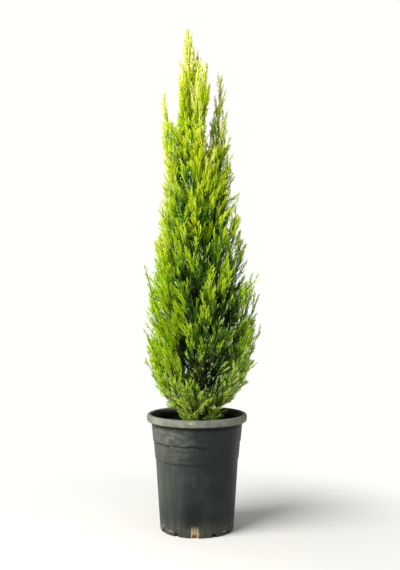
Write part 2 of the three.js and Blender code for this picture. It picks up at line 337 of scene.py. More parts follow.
class Term:
    """A shader value that takes part in Python sums."""

    __add__ = __radd__ = operator("ADD")
    __sub__ = operator("SUBTRACT")
    __mul__ = __rmul__ = operator("MULTIPLY")
    __truediv__ = operator("DIVIDE")

    def __init__(self, shader: "Shader", socket: bpy.types.NodeSocket) -> None:
        """Wraps an output socket of one of the shader's nodes."""
        self.shader = shader
        self.socket = socket

    def math(self, operation: str, *others: "Term | float") -> "Term":
        """The result of a Math node on this term and others."""
        return self.shader.node("ShaderNodeMath", {"operation": operation}, dict(enumerate((self, *others))))

    def __neg__(self) -> "Term":
        """-self."""
        return self * -1.0

    def __rsub__(self, other: float) -> "Term":
        """other - self."""
        return -self + other

    def __abs__(self) -> "Term":
        """The value without its sign."""
        return self.math("ABSOLUTE")

    def between(self, low: float, high: float) -> "Term":
        """0 at low and 1 at high, eased at both ends, and flat beyond them. Low may be the greater."""
        inputs = {"Value": self, "From Min": low, "From Max": high, "To Min": 0.0, "To Max": 1.0}
        return self.shader.node("ShaderNodeMapRange", {"interpolation_type": "SMOOTHSTEP"}, inputs)


Input = Union[Term, float, Sequence[float]]


class Shader:
    """A node tree and the one method that adds nodes to it."""

    def __init__(self, tree: bpy.types.NodeTree) -> None:
        """Takes the tree of a material or a world."""
        self.tree = tree

    def node(
        self,
        kind: str,
        settings: Mapping[str, object] | None = None,
        inputs: Mapping[str | int, Input] | None = None,
        output: str | int = 0,
    ) -> Term:
        """Adds a node.

        Args:
            kind: the node's type.
            settings: its own properties, which are set first.
            inputs: the value or the link of each socket, by name or number.
            output: the socket to return.

        Returns:
            The output socket, as a term.
        """
        made = self.tree.nodes.new(kind)
        for key, value in (settings or {}).items():
            setattr(made, key, value)
        for key, value in (inputs or {}).items():
            self.feed(made.inputs[key], value)
        return Term(self, made.outputs[output])

    def feed(self, socket: bpy.types.NodeSocket, value: Input) -> None:
        """Links a term to a socket, or sets the socket to a plain value."""
        if isinstance(value, Term):
            self.tree.links.new(value.socket, socket)
        elif isinstance(value, (int, float)):
            socket.default_value = value
        else:
            socket.default_value = (*value, 1.0)[:len(socket.default_value)]

    def place(self) -> Term:
        """The place on the object, in the frame's metres."""
        return self.node("ShaderNodeTexCoord", output="Object")

    def split(self, vector: Term) -> list[Term]:
        """The three numbers of a vector."""
        first = self.node("ShaderNodeSeparateXYZ", inputs={0: vector})
        return [Term(self, output) for output in first.socket.node.outputs]

    def noise(self, place: Term, grain: Place, detail: float = 3.0) -> Term:
        """Adds noise from 0 to 1.

        Args:
            place: where it is read.
            grain: the size of its blotches along X, Y and Z.
            detail: the number of its finer layers.

        Returns:
            The noise.
        """
        scale = tuple(1.0 / size for size in grain)
        inner = self.node("ShaderNodeMapping", {"vector_type": "POINT"}, {"Vector": place, "Scale": scale})
        return self.node("ShaderNodeTexNoise", inputs={"Vector": inner, "Scale": 1.0, "Detail": detail})

    def mixed(self, share: Term | float, first: Term | Colour, second: Term | Colour) -> Term:
        """The colour that lies `share` of the way from first to second."""
        settings = {"data_type": "RGBA", "blend_type": "MIX"}
        return self.node("ShaderNodeMix", settings, {0: share, 6: first, 7: second}, output=2)

    def bumped(self, height: Term, depth: float) -> Term:
        """The normal of a surface with a relief that is `depth` deep where height goes from 0 to 1."""
        return self.node("ShaderNodeBump", inputs={"Strength": 1.0, "Distance": depth, "Height": height})


class Material(Shader):
    """A material with a Principled shader."""

    def __init__(self, name: str) -> None:
        """Makes the material with Blender's own two nodes.

        Args:
            name: the material's name.
        """
        self.material = bpy.data.materials.new(name)
        self.material.use_nodes = True
        super().__init__(self.material.node_tree)

    def dress(self, inputs: Mapping[str, Input]) -> Finish:
        """Feeds the Principled shader's sockets.

        Args:
            inputs: the value or the link of each, by name.

        Returns:
            The material.
        """
        principled = self.tree.nodes["Principled BSDF"]
        for key, value in inputs.items():
            self.feed(principled.inputs[key], value)
        return self.material


@dataclass(frozen=True)
class PlainFinish:
    """One even colour, for pieces that are finer than any pattern."""

    name: str
    colour: Colour
    roughness: float = 0.5
    specular: float = 0.3

    def build(self) -> Finish:
        """The material."""
        inputs = {"Base Color": self.colour, "Roughness": self.roughness, "Specular IOR Level": self.specular}
        return Material(self.name).dress(inputs)


@dataclass(frozen=True)
class PotPlastic:
    """Charcoal plastic with a dusty rim, pale streaks, scuffs, and dried silt round the drain notches.

    It also carries painted light on the left side and the right edge, and painted shade under the rim,
    below the ledges, on the inner wall and inside the notches.
    """

    charcoal: Colour = (0.0125, 0.0175, 0.0182)
    worn: Colour = (0.0250, 0.0320, 0.0285)
    # The colour of the painted light on the left side and the right edge.
    side_light_colour: Colour = (0.073, 0.079, 0.060)
    scuff_and_light_colour: Colour = (0.125, 0.134, 0.108)
    dust: Colour = (0.222, 0.230, 0.186)
    silt: Colour = (0.150, 0.132, 0.090)
    flecks: Colour = (0.46, 0.40, 0.30)
    amber: Colour = (0.56, 0.42, 0.22)
    pollen: Colour = (0.36, 0.42, 0.06)
    black: Colour = (0.0015, 0.0020, 0.0020)
    rim_foot: float = 0.258
    rim_inside: float = 0.1085
    seam_x: float = -0.0011
    stain_x: float = -0.0044
    stain_width: float = 0.011
    stain_height: float = 0.032
    stain_ribs: float = 950.0
    ledges: tuple[Range, ...] = ((0.1698, 0.55), (0.2118, 1.0))
    wall_line: Range = (0.0852, 0.0935)
    notch_top: float = 0.0091
    notch_radius: float = 0.0864

    def build(self) -> Finish:
        """The material: coats of colour, each under a mask that reads the place and noise.

        Returns:
            The finish.
        """
        shader = Material("pot_plastic")
        place = shader.place()
        x, y, z = shader.split(place)
        left = -x
        front = -y
        radius = (x * x + y * y).math("SQRT")
        blotches = shader.noise(place, (0.035, 0.035, 0.035), detail=4.0)
        streaks = shader.noise(place, (0.007, 0.007, 0.16), detail=3.0)
        scuffs = shader.noise(place, (0.020, 0.020, 0.009), detail=4.0)
        grains = shader.noise(place, (0.0022, 0.0022, 0.0022), detail=2.0)
        crusts = shader.noise(place, (0.005, 0.005, 0.007), detail=2.0)
        drops = shader.noise(place, (0.0100, 0.0100, 0.007), detail=1.0)
        rim = z.between(self.rim_foot - 0.001, self.rim_foot + 0.004)
        rim = rim * radius.between(self.rim_inside, self.rim_inside + 0.003)
        wall = 1.0 - rim
        wear = blotches.between(0.35, 0.75) * 0.6 + streaks.between(0.45, 0.8) * 0.3
        wear = wear + scuffs.between(0.6, 0.8) * 0.15
        # Painted light and sheen: the left side, where the light falls, is lighter and streaked, fading
        # towards the bottom, and the right edge has a thin painted strip of light.
        painted_side_light = left.between(0.005, 0.100) * (0.58 + 0.42 * streaks.between(0.38, 0.62))
        painted_side_light = painted_side_light * (0.4 + 0.6 * z.between(0.040, 0.105)) + x.between(0.074, 0.100) * 0.35
        # Scuffs on the upper left, which also paint that side lighter, as painted light where the light
        # falls.
        scuffs_and_left_light = z.between(0.150, 0.235) * left.between(-0.025, 0.06)
        scuffs_and_left_light = scuffs_and_left_light * (0.25 + 0.75 * scuffs.between(0.42, 0.66))
        dusty = rim * (0.36 + 0.46 * blotches.between(0.3, 0.7) + 0.18 * scuffs.between(0.4, 0.6))
        runs = streaks.between(0.42, 0.66) * blotches.between(0.3, 0.6)
        low = z.between(0.048, 0.010) * (0.45 + 0.55 * runs)
        # A darker patch low on the front, above the front drain notch.
        low_front_dark = abs(x + 0.008).between(0.034, 0.010) * z.between(0.016, 0.034) * z.between(0.092, 0.060)
        dried = z.between(0.026, 0.012) * crusts.between(0.58, 0.68)
        dried = dried * (0.2 + 0.8 * abs(x).between(0.02, 0.08))
        specks = rim * drops.between(0.67, 0.73) * front.between(0.05, 0.09)
        coats = (
            (painted_side_light * 0.75, self.side_light_colour),
            (scuffs_and_left_light * wall * 0.64, self.scuff_and_light_colour),
            # Painted shade under the rim and below the ledges, and a dark line along the front seam.
            (self.painted_shade_and_seam_line(x, z, front, blotches) * wall, self.black),
            (self.shadow(z, radius), self.black),
            (dusty, self.dust),
            (low * 0.36, self.silt),
            (low_front_dark * front.between(0.0, 0.05) * 0.55, self.black),
            (dried * 0.7, self.flecks),
            (self.stain(x, z, front), self.amber),
            (specks * 0.75, self.pollen),
        )
        colour = shader.mixed(wear.between(0.0, 1.0), self.charcoal, self.worn)
        for mask, coat in coats:
            colour = shader.mixed(mask, colour, coat)
        inputs = {
            "Base Color": colour,
            "Roughness": 0.40 + 0.16 * wear + 0.22 * dusty + 0.08 * grains,
            "Normal": shader.bumped(0.65 * grains + 0.35 * scuffs, 0.00022),
            "Specular IOR Level": 0.16,
        }
        return shader.dress(inputs)

    def painted_shade_and_seam_line(self, x: Term, z: Term, front: Term, blotches: Term) -> Term:
        """Masks the painted shade under the rim and below the ledges, stronger on the left, and a dark line
        along the front seam.

        Args:
            x: the place along X.
            z: the height.
            front: the place along -Y.
            blotches: the noise that breaks it up.

        Returns:
            The mask.
        """
        dark = (z - self.rim_foot).between(-0.014, -0.003) * 0.95
        uneven = z + 0.016 * (blotches - 0.5)
        for ledge, strength in self.ledges:
            line = abs(uneven - ledge).between(0.0034, 0.0008) * blotches.between(0.3, 0.5) * strength
            dark = dark.math("MAXIMUM", line * (0.12 + 0.78 * (-x).between(-0.045, 0.0)))
        seam = abs(x - self.seam_x).between(0.0040, 0.0008) * front.between(0.0, 0.04)
        seam = seam * z.between(0.208, 0.250)
        return dark.math("MAXIMUM", seam * (0.15 + 0.6 * blotches.between(0.35, 0.6)))

    def shadow(self, z: Term, radius: Term) -> Term:
        """Masks the inner wall under the rim and the insides of the notches.

        Args:
            z: the height.
            radius: the distance from the axis.

        Returns:
            The mask.
        """
        sunk = (z * self.wall_line[1] + self.wall_line[0] - radius).between(0.0008, 0.0016)
        sunk = sunk * z.between(0.238, 0.242) * z.between(self.rim_foot + 0.016, self.rim_foot + 0.008)
        recess = z.between(self.notch_top, self.notch_top - 0.0004)
        recess = recess * radius.between(self.notch_radius, self.notch_radius - 0.0006)
        return (sunk * 0.8).math("MAXIMUM", recess)

    def stain(self, x: Term, z: Term, front: Term) -> Term:
        """Masks the dried run of water above the front notch: narrow, tall and streaked.

        Args:
            x: the place along X.
            z: the height.
            front: the place along -Y.

        Returns:
            The mask.
        """
        across = abs(x - self.stain_x) / self.stain_width
        ribs = (x * self.stain_ribs).math("SINE") * 0.3 + 0.7
        height = z.between(self.stain_height, self.stain_height * 0.35)
        return across.between(1.0, 0.55) * height * front.between(0.0, 0.04) * ribs * 0.85


@dataclass(frozen=True)
class PottingSoil:
    """Dark damp peat with paler fibres."""

    peat: Colour = (0.016, 0.011, 0.008)
    fibre: Colour = (0.075, 0.046, 0.026)

    def build(self) -> Finish:
        """Makes clods and fibres from noise.

        Returns:
            The finish.
        """
        shader = Material("potting_soil")
        place = shader.place()
        clods = shader.noise(place, (0.006, 0.006, 0.006), detail=5.0)
        fibres = shader.noise(place, (0.0012, 0.005, 0.0012), detail=3.0)
        share = clods.between(0.45, 0.75) * 0.7 + fibres.between(0.58, 0.72) * 0.5
        inputs = {
            "Base Color": shader.mixed(share.between(0.0, 1.0), self.peat, self.fibre),
            "Roughness": 0.78 + 0.2 * clods,
            "Normal": shader.bumped(clods + 0.5 * fibres, 0.0012),
        }
        return shader.dress(inputs)


@dataclass(frozen=True)
class Bark:
    """Reddish brown bark in upright fibres, with grey ridges, that is still green towards the tips. Its
    colours are kept dark, partly as painted shade for the boughs inside the crown.
    """

    # Dark colours, partly painted shade for the boughs in the crown's shaded heart.
    furrow: Colour = (0.028, 0.017, 0.010)
    ridge: Colour = (0.062, 0.043, 0.025)
    weathered: Colour = (0.080, 0.068, 0.048)
    young: Colour = (0.130, 0.165, 0.024)

    def build(self) -> Finish:
        """Makes fibres, weathered patches and the green of the top.

        Returns:
            The finish.
        """
        shader = Material("bark")
        place = shader.place()
        fibres = shader.noise(place, (0.0016, 0.0016, 0.016), detail=4.0)
        patches = shader.noise(place, (0.012, 0.012, 0.03), detail=2.0)
        ridges = fibres.between(0.36, 0.64)
        colour = shader.mixed(ridges, self.furrow, self.ridge)
        colour = shader.mixed(ridges * patches.between(0.5, 0.7) * 0.7, colour, self.weathered)
        colour = shader.mixed(shader.split(place)[2].between(0.60, 0.98) * 0.85, colour, self.young)
        inputs = {
            "Base Color": colour,
            "Roughness": 0.92 - 0.2 * ridges,
            "Normal": shader.bumped(fibres, 0.0009),
        }
        return shader.dress(inputs)


@dataclass(frozen=True)
class Pot:
    """The nursery pot: a flared cup with two stacking steps, a rolled rim and drain notches.

    A station is a height and the outer wall's radius there. A crease is the angle of its middle from the
    front, half its angle, its height and its depth. A bow is a depth, a number of waves round the pot and
    the angle that they start at.
    """

    wall: float = 0.002
    under_radii: Range = (0.030, 0.060)
    foot: tuple[Range, ...] = ((0.0845, 0.0), (0.0862, 0.0007), (0.0872, 0.0019))
    stations: tuple[Range, ...] = (
        (0.0035, 0.0877), (0.0090, 0.0881), (0.030, 0.0895), (0.060, 0.0914), (0.090, 0.0934),
        (0.120, 0.0953), (0.150, 0.0973), (0.1678, 0.0984), (0.1692, 0.0987), (0.1705, 0.0995),
        (0.1718, 0.1001), (0.185, 0.1014), (0.200, 0.1027), (0.2098, 0.1035), (0.2112, 0.1038),
        (0.2125, 0.1046), (0.2138, 0.1052), (0.230, 0.1067), (0.245, 0.1081), (0.260, 0.1095),
        (0.2695, 0.1104),
    )
    fine_heights: tuple[float, float, float] = (0.168, 0.246, 0.0026)
    rim_middle: Range = (0.1145, 0.2670)
    rim_half: Range = (0.0055, 0.0090)
    rim_angles: Range = (-118.0, 172.0)
    rim_squareness: float = 2.7
    rim_steps: int = 26
    inside_floor: float = 0.012
    floor_radius: float = 0.040
    columns: int = 176
    least_turn: float = 1e-4
    notches: int = 12
    notch_turn: float = np.radians(-3.0)
    notch_half_angle: float = 0.0060 / 0.0877
    notch_height: float = 0.0088
    notch_inside: float = 0.0798
    notch_edge: float = 0.0002
    notch_columns: tuple[float, ...] = (-1.03, -0.97, 0.0, 0.97, 1.03)
    seam_turn: float = -0.010
    seam_depth: float = 0.0010
    seam_half_angle: float = 0.0013 / 0.108
    seam_columns: tuple[float, float, int] = (-1.5, 1.5, 7)
    seam_start: Range = (0.200, 0.216)
    creases: tuple[tuple[float, float, float, float], ...] = (
        (-0.26, 0.36, 0.2090, 0.0017), (-0.30, 0.30, 0.1790, 0.0013), (-0.70, 0.26, 0.2330, 0.0014),
        (0.30, 0.30, 0.2270, 0.0008),
    )
    crease_half_width: float = 0.0034
    crease_sag: float = 0.006
    crease_top: float = 0.2550
    bows: tuple[tuple[float, float, float], ...] = ((0.0005, 2.0, 0.6), (0.0003, 5.0, 2.0))
    bowing: Range = (0.05, 0.25)
    bow_inside: float = 0.05

    def section(self) -> Array:
        """The outline that turns into the pot: out along the underside, up, over the rim and down inside.

        Returns:
            A radius and a height for each point.
        """
        notch_radii = (self.notch_inside - self.notch_edge, self.notch_inside)
        under = [(radius, 0.0) for radius in (*self.under_radii, *notch_radii)]
        heights, radii = np.array(self.stations).T
        wall_heights = np.union1d(heights, np.arange(*self.fine_heights))
        outside = zip(np.interp(wall_heights, heights, radii), wall_heights)
        lowest = 2.0 * self.inside_floor
        inside = [(radius - self.wall, z) for z, radius in reversed(self.stations) if z > lowest]
        floor_radii = (self.stations[1][1] - self.wall, self.floor_radius)
        floor = [(radius, self.inside_floor) for radius in floor_radii]
        return np.array([*under, *self.foot, *outside, *self.rim_section(), *inside, *floor])

    def rim_section(self) -> Array:
        """The rolled rim: a superellipse from under its outer edge, over the top, to the inner wall.

        Returns:
            A radius and a height for each point.
        """
        angle = np.radians(np.linspace(*self.rim_angles, self.rim_steps))
        circle = np.stack([np.cos(angle), np.sin(angle)], axis=-1)
        squared = np.sign(circle) * np.abs(circle) ** (2.0 / self.rim_squareness)
        return self.rim_middle + np.array(self.rim_half) * squared

    def turns(self) -> Array:
        """The angles of the grid's columns: even ones, and closer ones at the notches' edges and the seam.

        Returns:
            Angles from the front, in order.
        """
        even = np.linspace(-np.pi, np.pi, self.columns, endpoint=False)
        edges = self.notch_half_angle * np.array(self.notch_columns)
        edges = self.notch_centres()[:, None] + edges
        seam = self.seam_turn + np.linspace(*self.seam_columns) * self.seam_half_angle
        turns = np.concatenate([even, edges.ravel(), seam])
        turns = np.sort((turns + np.pi) % FULL_TURN - np.pi)
        return turns[np.diff(turns, append=turns[0] + FULL_TURN) > self.least_turn]

    def notch_centres(self) -> Array:
        """The angles of the notches from the front."""
        return self.notch_turn + even_turns(self.notches)

    def shell(self) -> Surface:
        """The pot's skin: radius and height from the section, pulled about by the notches, the seam and use.

        In a notch the underside and the foot rise to its ceiling. The seam is a narrow groove under the rim.
        Use leaves the wall a little out of round, with shallow creases that sag in the middle.

        Returns:
            The closed surface.
        """
        section = self.section()
        turn = self.turns()[None, :]
        radius = section[:, :1] + 0.0 * turn
        z = section[:, 1:] + 0.0 * turn
        outer = np.arange(len(section))[:, None] < len(section) // 2
        away = (turn[..., None] - self.notch_centres() + np.pi) % FULL_TURN - np.pi
        in_notch = (np.abs(away).min(axis=-1) < self.notch_half_angle) & (radius >= self.notch_inside)
        z = np.where(in_notch & outer & (z < self.notch_height), self.notch_height, z)
        groove = np.exp(-(((turn - self.seam_turn) / self.seam_half_angle) ** 2))
        on_wall = smooth_step(*self.seam_start, z) * (z < self.stations[-1][0]) * outer
        radius = radius - self.seam_depth * groove * on_wall
        bowed = sum(depth * np.sin(waves * turn + start) for depth, waves, start in self.bows)
        radius = radius + bowed * smooth_step(*self.bowing, z) * (radius > self.bow_inside)
        for middle, half, height, depth in self.creases:
            aside = (turn - middle) / half
            up = (z - height - self.crease_sag * aside**2) / self.crease_half_width
            radius = radius - depth * np.exp(-(aside**4) - up**2) * (z < self.crease_top) * outer
        rings = np.stack([radius * np.sin(turn), -radius * np.cos(turn), z], axis=-1)
        return wrapped(rings, np.zeros(3), self.inside_floor * UP)

    def build(self) -> list[Piece]:
        """The pot's piece."""
        return [make_piece("nursery_pot", self.shell(), [PotPlastic().build()], Slot.POT, ["pot"])]


@dataclass(frozen=True)
class Soil:
    """The potting soil: a filling with a rough top, crumbs on it and a few dry fallen needles."""

    pot: Pot
    top: float = 0.240
    edge_radius: float = 0.1053
    floor: float = 0.0125
    clearance: float = 0.0008
    relief: float = 0.0026
    grain: float = 0.014
    settled: float = 0.001
    bank_height: float = 0.003
    bank_radius: float = 0.03
    edge_drop: float = 0.002
    drop_radius: float = 0.07
    wall_margin: float = 0.004
    innermost: float = 0.002
    rings: int = 44
    columns: int = 120
    crumbs: int = 400
    crumb_radius: Range = (0.0010, 0.0036)
    crumb_bulges: Range = (0.7, 1.2)
    crumb_power: float = 0.6
    crumb_lie: Place = (1.0, 1.0, 0.4)
    crumb_stretch: float = 1.2
    crumb_roundness: float = 0.94
    crumb_grid: tuple[int, int] = (5, 5)
    fallen: int = 260
    fallen_length: Range = (0.004, 0.009)
    fallen_tilt: Range = (-0.12, 0.25)
    fallen_radii: tuple[float, ...] = (0.0003, 0.0005, 0.0)
    fallen_height: float = 0.0008
    straw: Colour = (0.21, 0.125, 0.05)
    trunk_radius: float = 0.018

    def top_at(self, places: Array) -> Array:
        """The height of the rough top: layered noise, banked up at the trunk and low at the wall.

        Args:
            places: points whose X and Y count.

        Returns:
            One height for each.
        """
        flat = places * (1.0 - UP)
        radius = np.linalg.norm(flat, axis=-1)
        rough = noise(flat, self.grain, layers=4, seed=SEED)
        bank = self.bank_height * np.exp(-((radius / self.bank_radius) ** 2))
        drop = self.edge_drop * smooth_step(self.drop_radius, self.edge_radius, radius)
        return self.top - self.settled + (bank - drop) + 0.5 * self.relief * rough

    def filling(self) -> Surface:
        """The filling: up the pot's inner wall, then rings of the rough top in to the middle.

        Returns:
            The closed surface.
        """
        heights, radii = np.array(self.pot.stations).T
        within = (heights > self.floor) & (heights < self.top - self.wall_margin)
        wall_z = np.concatenate([[self.floor], heights[within]])
        wall_radius = np.interp(wall_z, heights, radii) - self.pot.wall - self.clearance
        radius = np.concatenate([wall_radius, np.linspace(self.edge_radius, self.innermost, self.rings)])
        places = radius[:, None, None] * level(even_turns(self.columns))
        places[..., 2] = self.top_at(places)
        places[:wall_z.size, :, 2] = wall_z[:, None]
        return wrapped(places, self.floor * UP, self.top_at(np.zeros(3)) * UP)

    def scattered(self, count: int, rng: Rng) -> Array:
        """Scatters places on the top, clear of the trunk and the wall.

        Args:
            count: how many.
            rng: the source of chance.

        Returns:
            The places.
        """
        share = rng.uniform(0.0, 1.0, count)
        radius = np.sqrt(blend(self.trunk_radius**2, (self.edge_radius - self.wall_margin) ** 2, share))
        places = radius[:, None] * level(rng.uniform(0.0, FULL_TURN, count))
        places[:, 2] = self.top_at(places)
        return places

    def loose_crumbs(self, rng: Rng) -> Surface:
        """Crumbs: short thick stalks of five sides that lie half sunk, each with its own bulges.

        Args:
            rng: the source of chance.

        Returns:
            All of them as one surface.
        """
        places = self.scattered(self.crumbs, rng)
        size = blend(*self.crumb_radius, rng.power(self.crumb_power, self.crumbs))
        heading = unit(rng.normal(size=(self.crumbs, 3)) * self.crumb_lie)
        along = np.linspace(-1.0, 1.0, self.crumb_grid[0])
        reach = (size[:, None] * along)[..., None] * heading[:, None] * self.crumb_stretch
        bulge = np.sqrt(1.0 - (self.crumb_roundness * along) ** 2)[:, None]
        bulges = bulge * rng.uniform(*self.crumb_bulges, (self.crumbs, *self.crumb_grid))
        return tubes(places[:, None] + reach, size[:, None, None] * bulges, self.crumb_grid[1])

    def fallen_needles(self, rng: Rng) -> Surface:
        """Dry needles that lie flat on the top.

        Args:
            rng: the source of chance.

        Returns:
            All of them as one surface.
        """
        places = self.scattered(self.fallen, rng) + self.fallen_height * UP
        length = rng.uniform(*self.fallen_length, self.fallen)
        turn = rng.uniform(0.0, FULL_TURN, self.fallen)
        tilt = rng.uniform(*self.fallen_tilt, self.fallen)
        heading = unit(level(turn) + tilt[:, None] * UP)
        along = np.array([0.0, 0.5, 1.0])
        paths = places[:, None] + (length[:, None] * along)[..., None] * heading[:, None]
        return tubes(paths, np.array(self.fallen_radii)[None, :, None], 3)

    def build(self) -> list[Piece]:
        """Builds the soil.

        Returns:
            The filling, the crumbs and the fallen needles.
        """
        rng = np.random.default_rng(SEED + 1)
        peat = PottingSoil().build()
        straw = PlainFinish("dry_needle", self.straw, roughness=0.7).build()
        return [
            make_piece("soil_filling", self.filling(), [peat], Slot.SOIL, ["soil"]),
            make_piece("soil_crumbs", self.loose_crumbs(rng), [peat], Slot.SOIL, smooth=False),
            make_piece("fallen_needles", self.fallen_needles(rng), [straw], Slot.FOLIAGE, smooth=False),
        ]


class Carrier:
    """Curves that stalks grow on, each named by number, and the plume that each belongs to."""

    stem: Array

    def paths(self, shares: Array) -> Array:
        """The places at shares of every curve, of shape (curves, shares, 3)."""
        return self.point(np.arange(len(self.stem))[:, None], shares)


@dataclass(frozen=True)
class Lines(Carrier):
    """Cubic Bezier lines, four control points to a row."""

    controls: Array
    stem: Array

    def point(self, which: Array, share: Array) -> Array:
        """Places on lines.

        Args:
            which: their numbers.
            share: how far along each, from 0 to 1.

        Returns:
            One place for each.
        """
        first, second, third, fourth = np.moveaxis(self.controls[which], -2, 0)
        share = share[..., None]
        rest = 1.0 - share
        inner = 3.0 * rest**2 * share * second + 3.0 * rest * share**2 * third
        return rest**3 * first + inner + share**3 * fourth

    def heading(self, which: Array, share: Array) -> Array:
        """The headings of lines.

        Args:
            which: their numbers.
            share: how far along each, from 0 to 1.

        Returns:
            One unit vector for each.
        """
        first, second, third = np.moveaxis(np.diff(self.controls[which], axis=-2), -2, 0)
        share = share[..., None]
        rest = 1.0 - share
        return unit(rest**2 * first + 2.0 * rest * share * second + share**2 * third)

    @property
    def length(self) -> Array:
        """The length of each line, as the sum of its chords."""
        chords = np.diff(self.paths(np.linspace(0.0, 1.0, CHORDS + 1)), axis=1)
        return np.linalg.norm(chords, axis=-1).sum(axis=1)

    def rise_at(self, which: Array, share: Array) -> Array:
        """How far up its plume each place lies: a line is the plume's own axis."""
        return share

    def chosen(self, wanted: Array) -> "Lines":
        """The lines that are wanted."""
        return Lines(self.controls[wanted], self.stem[wanted])


@dataclass(frozen=True)
class Stalks(Carrier):
    """Curved stalks: the place at a share s is root + length (s direction + s² bend)."""

    root: Array
    direction: Array
    bend: Array
    length: Array
    stem: Array
    rise: Array

    def point(self, which: Array, share: Array) -> Array:
        """Places on stalks.

        Args:
            which: their numbers.
            share: how far along each, from 0 to 1.

        Returns:
            One place for each.
        """
        share = share[..., None]
        path = share * self.direction[which] + share**2 * self.bend[which]
        return self.root[which] + self.length[which][..., None] * path

    def heading(self, which: Array, share: Array) -> Array:
        """The unit direction of each stalk at a share of it."""
        return unit(self.direction[which] + 2.0 * share[..., None] * self.bend[which])

    def rise_at(self, which: Array, share: Array) -> Array:
        """How far up its plume each place lies: a stalk goes on from its root towards the tip."""
        return blend(self.rise[which], 1.0, RISE_ALONG_STALK * share)

    @classmethod
    def joined(cls, groups: Sequence["Stalks"]) -> "Stalks":
        """Several groups as one."""
        names = [part.name for part in fields(cls)]
        return cls(*(np.concatenate([getattr(group, name) for group in groups]) for name in names))

    def shortened(self, shares: Array) -> "Stalks":
        """The stalks cut back to a share of their length, along the same curve."""
        return replace(self, bend=self.bend * shares[:, None], length=self.length * shares)

    def skin(self, radius: float, places: int, sides: int) -> Surface:
        """The stalks as tubes that taper evenly to a point."""
        taper = np.linspace(radius, 0.0, places)
        return tubes(self.paths(np.linspace(0.0, 1.0, places)), taper[None, :, None], sides)


@dataclass(frozen=True)
class Tier:
    """Boughs that leave the trunk at about one height, evenly turned about it but for those that stand aside.

    A tip is the height of a bough's end and its distance from the trunk's line. The first share `bare` of a
    bough has no shoots. Its forks rise by `fork_rise` of what it rises itself.
    """

    name: str
    foot: float
    climb: float
    turn: float
    bare: float
    fork_rise: float
    tips: tuple[Range, ...]
    asides: tuple[float, ...] = ()

    def azimuths(self) -> Array:
        """The directions of the boughs' tips."""
        return np.radians(self.turn) + even_turns(len(self.tips)) + np.radians(self.asides or 0.0)

    def nodes(self, kind: str) -> list[str]:
        """The CAD nodes of one kind that belong to this tier."""
        return [f"{self.name}_{kind}_{i + 1}" for i in range(len(self.tips))]


@dataclass(frozen=True)
class Trunk:
    """The trunk: a line that leans and comes back, an even taper, and a flare at the foot."""

    foot: float = 0.2403
    tip: float = 1.196
    controls_x: tuple[float, ...] = (0.0, 0.020, -0.002, -0.022)
    foot_radius: float = 0.009
    upper_radius: float = 0.0024
    upper_share: float = 0.77
    tip_radius: float = 0.0006
    flare: float = 0.006
    flare_height: float = 0.012
    sunk: float = 0.004
    rings: int = 150
    ring_power: float = 1.25
    columns: int = 28
    ridge_depth: float = 0.0011
    ridge_share: float = 0.16
    ridge_grain: Place = (0.005, 0.005, 0.03)
    roots: int = 5
    root_depth: float = 0.22
    root_start: float = 0.7
    root_fall: float = 50.0
    point_height: float = 0.0005

    def line(self) -> Lines:
        """The trunk's line from the soil to the top of the crown."""
        z = np.linspace(self.foot, self.tip, 4)
        return Lines(np.stack([self.controls_x, np.zeros(4), z], axis=-1)[None], np.zeros(1, int))

    def share(self, z: Number) -> Number:
        """The share of the line at a height."""
        return (z - self.foot) / (self.tip - self.foot)

    def at_height(self, z: Array) -> Array:
        """The places on the line at heights."""
        return self.line().point(np.zeros(z.size, int), self.share(z))

    def radius(self, share: Array) -> Array:
        """The radius: an even taper to the leading plume, a finer one through it, and the flare.

        Args:
            share: how far along the line.

        Returns:
            One radius for each share.
        """
        body = blend(self.foot_radius, self.upper_radius, share / self.upper_share)
        leader = (share - self.upper_share) / (1.0 - self.upper_share)
        leader = blend(self.upper_radius, self.tip_radius, leader)
        rise = np.maximum(share, 0.0) * (self.tip - self.foot)
        flare = self.flare * np.exp(-rise / self.flare_height)
        return np.where(share < self.upper_share, body, leader) + flare

    def skin(self) -> Surface:
        """The bark: the radius at each share and angle, raised by upright ridges and by roots at the foot.

        Returns:
            The closed surface.
        """
        along = np.linspace(0.0, 1.0, self.rings) ** self.ring_power
        share = blend(-self.share(self.foot + self.sunk), 1.0, along)
        line = self.line()
        which = np.zeros(self.rings, int)
        middle = line.point(which, share)
        turn = even_turns(self.columns)
        outward = around(line.heading(which, share)[:, None], turn)
        radius = self.radius(share)[:, None]
        bark = middle[:, None] + outward * self.foot_radius
        ridges = noise(bark, self.ridge_grain, layers=3, seed=SEED + 2)
        fading = np.exp(-np.maximum(share, 0.0)[:, None] * self.root_fall)
        roots = self.root_depth * np.cos(self.roots * turn + self.root_start) * fading
        depth = np.minimum(self.ridge_depth, self.ridge_share * radius)
        rings = middle[:, None] + (radius * (1.0 + roots) + depth * ridges)[..., None] * outward
        return wrapped(rings, middle[0], middle[-1] + self.point_height * UP)

    def build(self, finish: Finish) -> list[Piece]:
        """The trunk's piece."""
        return [make_piece("trunk_bark", self.skin(), [finish], Slot.BARK, ["trunk"])]


